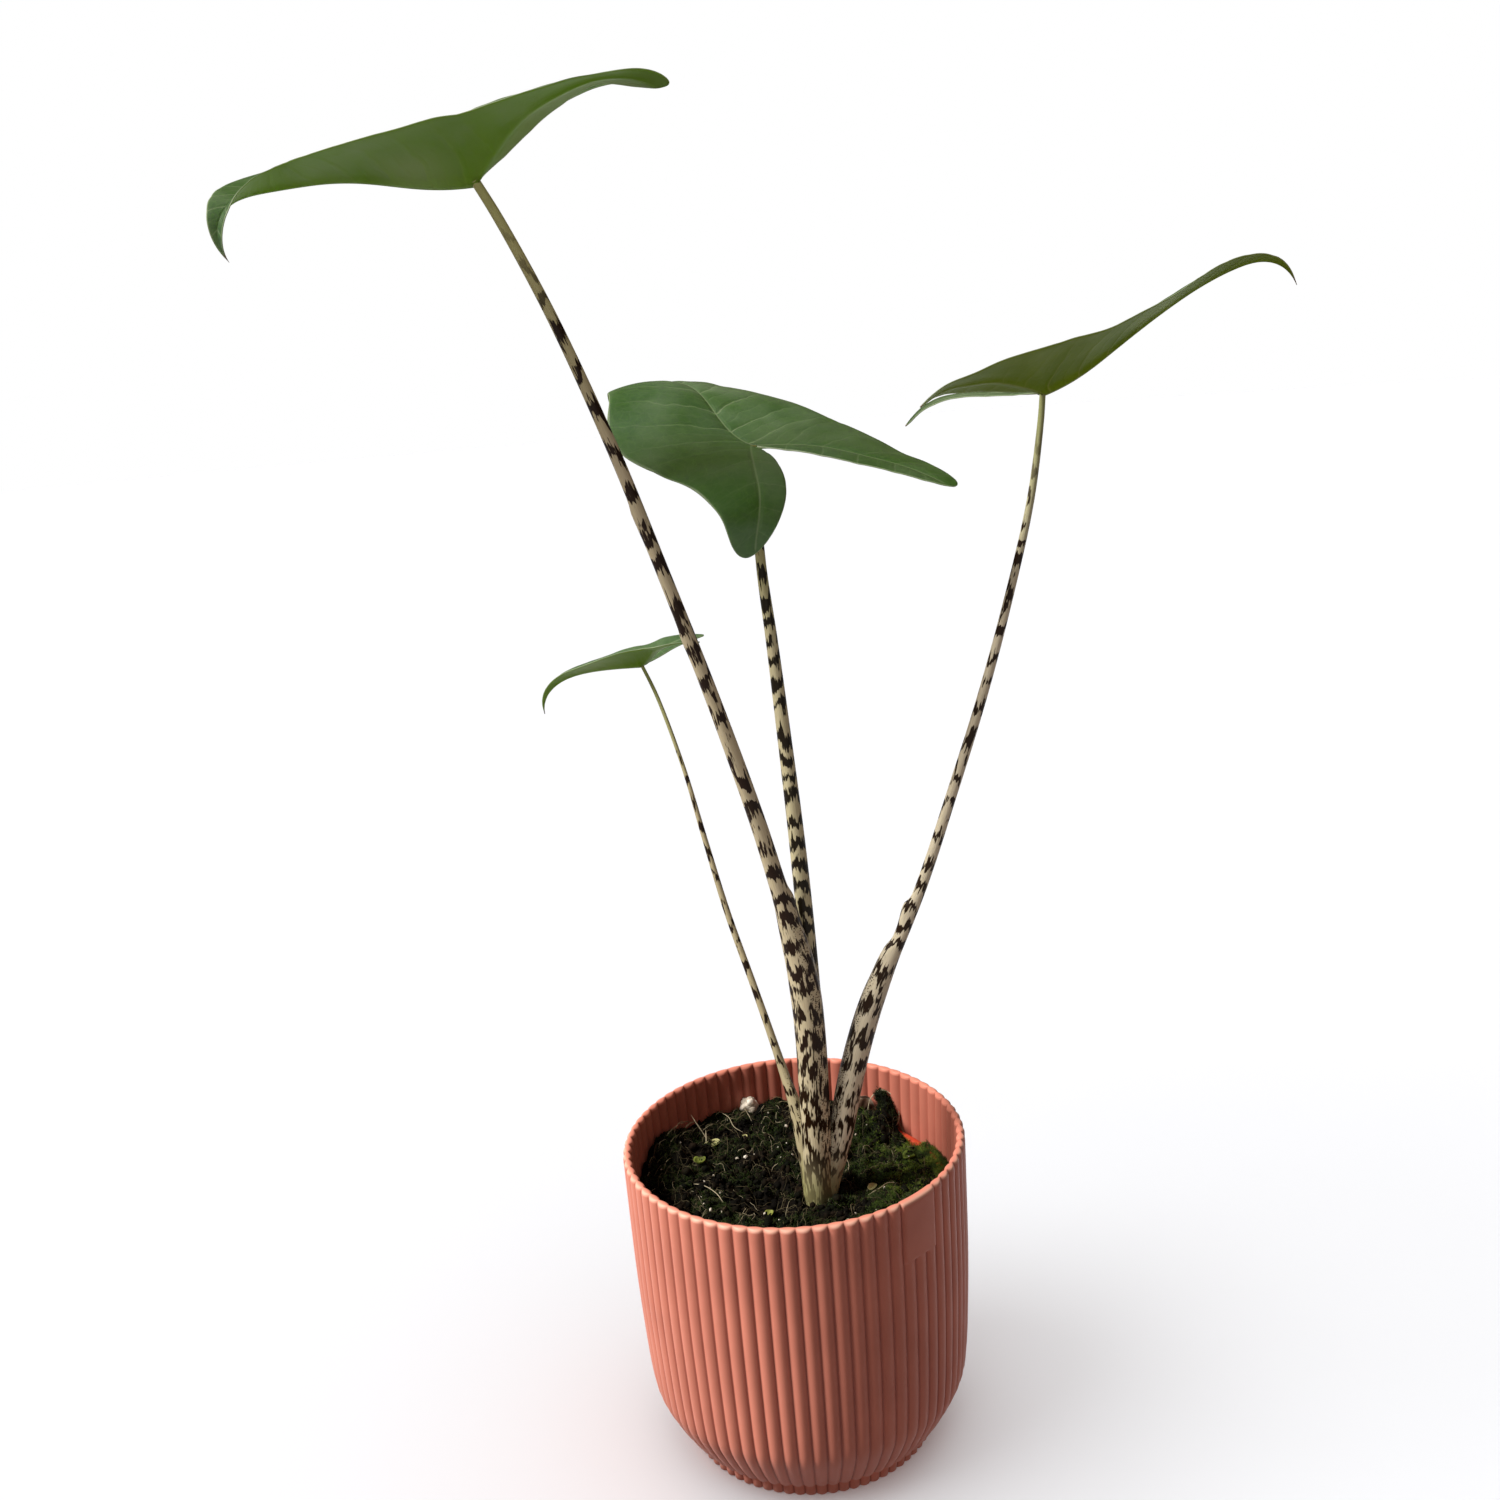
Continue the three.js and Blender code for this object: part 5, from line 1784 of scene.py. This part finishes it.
# ---- studio
@dataclass(frozen=True)
class Viewpoint:
    """The camera's place and how it is turned: looking along +Y, a little down."""

    place: tuple = (-5.3, -545.7, 434.1)
    down: float = 14.77
    roll: float = 4.44
    field_of_view: float = 53.13

    def build(self) -> None:
        """Make the camera."""
        down, roll = math.radians(self.down), math.radians(self.roll)
        ahead = Vector((0, math.cos(down), -math.sin(down)))
        level = Vector((1, 0, 0))
        upright = level.cross(ahead)
        right = level * math.cos(roll) - upright * math.sin(roll)
        up = right.cross(ahead)
        camera = bpy.data.cameras.new("camera")
        camera.sensor_fit, camera.angle = "HORIZONTAL", math.radians(self.field_of_view)
        camera.clip_start, camera.clip_end = 0.01, 60.0
        holder = bpy.data.objects.new("camera", camera)
        turn = Matrix((right, up, -ahead)).transposed().to_4x4()
        holder.matrix_world = Matrix.Translation(Vector(self.place) * METRES) @ turn
        bpy.context.scene.collection.objects.link(holder)
        bpy.context.scene.camera = holder


class Lit(Enum):
    """What a lamp lights."""

    PART = "everything but the floor"
    PLANT = "only the leaves and their stalks"
    FLOOR = "only the floor"


@dataclass(frozen=True)
class SoftLamp:
    """A far, broad studio lamp: where it stands, how wide it looks and what it lights."""

    name: str
    azimuth: float
    elevation: float
    breadth: float
    strength: float
    lights: Lit
    colour: str = "#ffffff"

    def build(self, floor: Object, plant: Sequence[Object]) -> None:
        """Make the lamp, and link it to what it lights.

        Args:
            floor: the studio's floor.
            plant: the leaves and stalks.
        """
        lamp = bpy.data.lights.new(self.name, "SUN")
        lamp.angle, lamp.energy = math.radians(self.breadth), self.strength
        lamp.color = linear(self.colour)[:3]
        holder = bpy.data.objects.new(self.name, lamp)
        rise, turn = math.radians(self.elevation), math.radians(self.azimuth)
        towards = Vector((math.cos(rise) * math.cos(turn), math.cos(rise) * math.sin(turn), math.sin(rise)))
        holder.matrix_world = towards.to_track_quat("Z", "Y").to_matrix().to_4x4()
        bpy.context.scene.collection.objects.link(holder)
        group = bpy.data.collections.new(self.name + "_reach")
        for thing in plant if self.lights is Lit.PLANT else [floor]:
            group.objects.link(thing)
        holder.light_linking.receiver_collection = group
        state = "EXCLUDE" if self.lights is Lit.PART else "INCLUDE"
        for link in group.collection_objects:
            link.light_linking.link_state = state


@dataclass(frozen=True)
class Studio:
    """A plain pale floor, a pale surround and broad soft lamps, the strongest from the left."""

    surround: str = "#ffffff"
    fill: str = "#746158"  # light from all round on the part
    floor_radii: tuple = (150, 600, 2400, 9000)
    sides: int = 96
    lamps: tuple = (
        SoftLamp("key_from_left", -168.0, 49.0, 20.0, 5.1, Lit.PART, "#fff4e6"),
        SoftLamp("front_fill", -95.0, 6.0, 60.0, 0.85, Lit.PLANT, "#fff8ee"),
        SoftLamp("floor_key", -168.0, 49.0, 40.0, 1.0, Lit.FLOOR, "#f0f7ff"),
        SoftLamp("floor_top", 0.0, 88.0, 110.0, 2.8, Lit.FLOOR, "#f0f7ff"),
    )

    def build(self, plant: Sequence[Object]) -> None:
        """Make the floor, the surround and the lamps round the part.

        Args:
            plant: the leaves and stalks, which a lamp of their own lights.
        """
        world = bpy.data.worlds.new("surround")
        world.use_nodes = True
        tree = world.node_tree
        tree.nodes.clear()
        seen = add_node(tree, "LightPath", out="Is Camera Ray")
        look = {FACTOR: seen, UNDER_IT: self.fill, OVER_IT: self.surround}
        glow = add_node(tree, "Background", (add_node(tree, "Mix", look, **COLOUR_MIX),))
        output = tree.nodes.new("ShaderNodeOutputWorld")
        tree.links.new(glow, output.inputs["Surface"])
        bpy.context.scene.world = world
        floor = self.build_floor()
        for lamp in self.lamps:
            lamp.build(floor, plant)
        bpy.context.scene.view_settings.view_transform = "Standard"

    def build_floor(self) -> Object:
        """Make the floor; it throws no light back up, so that the part keeps its shaded side."""
        rings = np.array([circle(radius, full_turn(self.sides)) for radius in self.floor_radii])
        points = np.concatenate([rings.reshape(-1, 3), [(0, 0, 0)]])
        faces = grid_faces(len(rings), self.sides, wrap=True)
        faces += [(i, (i + 1) % self.sides, len(points) - 1) for i in range(self.sides)]
        floor = place_mesh("studio_floor", Skin(points, faces))
        floor.data.materials.append(MattePaper().build())
        floor.visible_diffuse = False
        return floor


# ---- the plant
# Upper faces carry painted shade towards the lobe ends.
UPPER = LeafCuticle(
    "leaf_upper_cuticle", Face.UPPER, light="#45604c", deep="#2d4f28", vein="#a9bd9d",
    glow="#c2e689", roughness=0.38, gloss=0.5, through=0.21, vein_share=0.46, wax_and_sheen_tint="#86a082",
    wax_and_sheen_share=0.35, painted_lobe_shade=0.8,
)
# Under faces carry painted sheen beside the notch and ahead of the petiole's joint.
UNDER = LeafCuticle(
    "leaf_underside_cuticle", Face.UNDER, light="#667b2a", deep="#4f681e", vein="#93a25c",
    glow="#b3da50", roughness=0.46, gloss=0.3, through=0.42, vein_share=0.35, wax_and_sheen_tint="#b4cc9c",
    wax_and_sheen_share=0.35, painted_lobe_sheen=0.85, painted_collar_sheen=0.6,
)
OLD_UPPER = replace(
    UPPER, name="old_leaf_upper_cuticle", light="#4f6546", deep="#39512d", through=0.0,
    roughness=0.56, gloss=0.12,
)
OLD_UNDER = LeafCuticle(
    "old_leaf_underside_cuticle", Face.UNDER, light="#7a9722", deep="#648110", vein="#a2b060",
    glow="#a6bc40", roughness=0.5, gloss=0.06, through=0.04, vein_share=0.4, wax_and_sheen_tint="#8c8f70",
    wax_and_sheen_share=0.0,
)

# From the back to the front of the clasp.
STALKS = (
    Petiole(
        "petiole_b",
        (
            (10.2, -1.9, 92.3, 3.1), (10.5, -2, 104, 3.3), (11.3, -1.6, 150, 3.5),
            (11.7, -0.8, 185, 3.4), (11.4, 0.8, 208, 3.35), (10.8, 2.9, 230, 3.3),
            (9.9, 6.3, 256, 3.1), (8.1, 11.5, 293, 2.7), (6.1, 16.7, 329.5, 2.3),
            (4.3, 20.5, 357, 1.95), (4.2, 24.9, 399.8, 1.6),
        ),
        (104, 118, 132, 146, 158, 168, 178, 191, 204, 216, 224, 234, 241, 249, 258, 268, 276,
         283, 291, 302, 311, 320, 328, 336, 345, 354, 364, 374),
        ("#c6c3a4", "#191306", "#adb371", "#4a4228"),
        (-0.65, -0.35),
        reach=(4.28, 25.0, 400.9), head_radius=1.9,
    ),
    Petiole(
        "petiole_a",
        (
            (8.6, -4.2, 92.3, 5.2), (8.7, -4.2, 104, 5.5), (9.6, -4, 150, 6), (9.75, -4, 172, 6.05),
            (9.2, -4, 189, 6.05), (7.6, -4.2, 205, 5.6), (5.2, -4.6, 218, 4.7),
            (2.9, -5.2, 230, 3.7), (0.8, -5.8, 240, 3.35), (-4.7, -7, 264.7, 3.1),
            (-17.3, -9.7, 312.7, 2.75), (-31.5, -12.7, 362, 2.4), (-44.5, -15.5, 405.3, 2.2),
            (-60.8, -18.9, 451.6, 1.9), (-74.3, -21.8, 483, 1.7), (-80, -23.3, 494.3, 1.6),
        ),
        (104, 115, 126, 138, 150, 162, 174, 186, 196, 204, 213, 222, 232, 243, 252, 268, 284, 303,
         319, 334, 349, 363, 378, 390, 404, 418, 433, 446, 458, 468, 477),
        ("#cbc5aa", "#1f1003", "#bdc289", "#54422c"),
        (-0.65, 0.05),
        reach=(-80.4, -23.4, 495.1), head_radius=2.1,
        strip_angle=-18, strip_turn=-20, strip_from=120, strip_to=232, strip_width=42,
        swellings=(
            Swelling(383.5, 180, 0.55, 9, 60), Swelling(338, 175, 0.45, 7, 60),
            Swelling(232, 15, 1.0, 10, 45),
        ),
    ),
    Petiole(
        "petiole_c",
        (
            (11.9, -3.2, 92.3, 4.2), (12.5, -3.2, 104, 4.2), (18.4, -2.7, 126, 4.8),
            (24, -1.8, 150, 5.1), (29.3, -0.9, 168.4, 5), (35.2, 0.1, 184.7, 4.7),
            (42.8, 1.3, 200.6, 3.45), (47.1, 2, 208.4, 2.7), (54.7, 3.2, 224, 2.3),
            (61.3, 4.2, 240, 2.2), (69.8, 5.5, 262.8, 2.1), (83.6, 7.7, 300.7, 1.9),
            (95.4, 9.6, 338, 1.65), (105.1, 11.1, 374.2, 1.4), (109.8, 11.9, 402.7, 1.2),
            (110.7, 11.8, 412.2, 1.1),
        ),
        (104, 113, 122, 135, 148, 160, 172, 185, 197, 207, 214, 222, 229, 236, 249, 261, 273,
         285, 297, 307, 317, 328, 340, 351, 359, 367, 376, 385, 395),
        ("#d1cdb9", "#201204", "#8b9366", "#54442f"),
        (-0.15, 0.1),
        reach=(110.8, 11.8, 412.9), head_radius=1.7,
        strip_angle=-118, strip_turn=-28, strip_from=104, strip_to=205, strip_width=60,
        swellings=(Swelling(221, 182, 1.7, 7, 50), Swelling(204, 185, 0.9, 9, 50)),
    ),
    Petiole(
        "petiole_d",
        (
            (6.4, -1.4, 92.3, 3.4), (6.2, -1.2, 104, 3.7), (4.6, 0, 124, 3.5), (1.4, 2.4, 142, 2.5),
            (-1.5, 4.8, 153, 1.9), (-6, 8.1, 170.6, 1.55), (-11.3, 12.2, 190.1, 1.4),
            (-19.4, 18.6, 219.2, 1.3), (-25.9, 23.7, 248.4, 1.1), (-32.1, 28.5, 277.5, 0.85),
            (-40.4, 35, 306, 0.75), (-45.2, 39.8, 317, 0.7),
        ),
        (104, 113, 122, 131, 140, 149, 159, 168, 177, 186, 196, 205, 214, 224, 234, 243, 253,
         263, 273, 283),
        ("#b8b293", "#22160b", "#949f66", "#6a5a45"),
        (0.15, 0.6),
        reach=(-45.65, 40.2, 318.0), head_radius=1.0,
        strip_angle=-70, strip_turn=20, strip_from=100, strip_to=158, strip_width=30,
    ),
)

BLADES = (
    LeafBlade(
        "blade_a", (-80.4, -23.4, 495.2), 185, 106.9, 37.3, 1.37, 0.89,
        pitch=(-5.2, 9.3, -5.3, -17.4, -127.2), yaw=(0, -3.2, 5.9, 65.1, 32.5),
        roll=(-4, -0.8, -0.8, 12.4, -60.7),
        left=LeafHalf(52.5, 47.8, 0.36, (-22.5, 27.2), (5.6, 9), (-4, 2.4),
                      (25.4, 37.7, 19.5, 29.7), 18.8, curl=22, curl_from=0.78, pinch=0.4),
        right=LeafHalf(53.9, 48.5, 0.46, (-18.2, 6.9), (1.7, 0.2), (-4.1, -8.3),
                       (30.3, 42.9, 29.6, 22.6), 10.5),
        finishes=(UPPER, UNDER), seed=4, thickness=0.58, dry_from=0.972,
    ),
    LeafBlade(
        "blade_b", (4.3, 25, 401), 130.8, 106.7, 47.8, 1.26, 1.4,
        pitch=(14.7, 39.1, 6.8, -36, -48.7), yaw=(0, -10, -0.7, 2.1, -11.2),
        roll=(-3.1, -0.7, 2.2, -16, -45),
        left=LeafHalf(63.8, 40.6, 0.38, (29.2, 73.1), (2.2, -13.4), (-0.6, 3.1),
                      (2.2, 15, 6, 14.6), 36),
        right=LeafHalf(74.2, 28.1, 0.31, (14.9, 24.8), (1, -1.9), (1.5, -2),
                       (10.7, 14.5, -0.4, 16.2), 25),
        finishes=(UPPER, UNDER), seed=5,
    ),
    LeafBlade(
        "blade_c", (110.8, 11.8, 413), 6.8, 110.6, 38.1, 1.43, 1.03,
        pitch=(16.6, 33.1, 29.5, 17.5, -65.4), yaw=(0, 0.3, 1.8, -7, 10.2),
        roll=(-3.4, -2.6, -3, -1.6, 15),
        left=LeafHalf(45.6, 33.1, 0.54, (2.7, 38.9), (0.3, 0), (-3.1, -9.2),
                      (18.6, 19.2, 4.1, 27), 22),
        right=LeafHalf(56.4, 40, 0.5, (5.9, 28.8), (-6.2, 9), (-3.4, -12.1),
                       (12, 28.7, 16.1, 24.4), 8.7),
        finishes=(OLD_UPPER, OLD_UNDER), seed=6, thickness=0.56, ridge=1.3, dry_from=0.965, dry_lobes=0.975,
    ),
    LeafBlade(
        "blade_d", (-45.7, 40.3, 318.1), 179.9, 49.5, 13.8, 1.37, 1.05,
        pitch=(0.4, -2.4, -11, -39.2, -98.5), yaw=(0, -0.5, 0.4, -0.1, -0.4),
        roll=(1.6, 1.7, 0.1, -0.7, 0.5),
        left=LeafHalf(20.5, 18.9, 0.45, (-23.1, 9.1), (-3.3, 11.4), (1.3, 7.8),
                      (25.1, 43.6, 30, 46), 16.9),
        right=LeafHalf(25.4, 14.4, 0.4, (-8.3, -2.9), (2, -1.7), (-7.3, -4.9),
                       (22.9, 30.8, 15.1, 34.4), 13),
        finishes=(UPPER, UNDER), seed=7, thickness=0.7, ridge=0.8, rows_back=40, rows_front=80, columns=24,
        dry_from=0.965,
    ),
)


def dress_corm(node: Object) -> None:
    """Give the corm, which keeps its solid, its fibrous skin.

    Args:
        node: the corm's node from the frame.
    """
    stops = ((0.2, "#3a2918"), (0.6, "#5f4830"), (1.0, "#84694a"))
    node.data.materials.clear()
    node.data.materials.append(TonedGrowth("corm_tunic", stops, roughness=0.85).build())


def main() -> None:
    """Build the part around its frame."""
    logging.basicConfig(level=logging.INFO, format="%(message)s")
    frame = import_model()
    Viewpoint().build()
    CoverPot().build()
    NurseryPot().build()
    SoilBed().build()
    dress_corm(frame["nodes"]["corm"])
    Studio().build([part.build() for part in (*STALKS, *BLADES)])


if __name__ == "__main__":
    main()
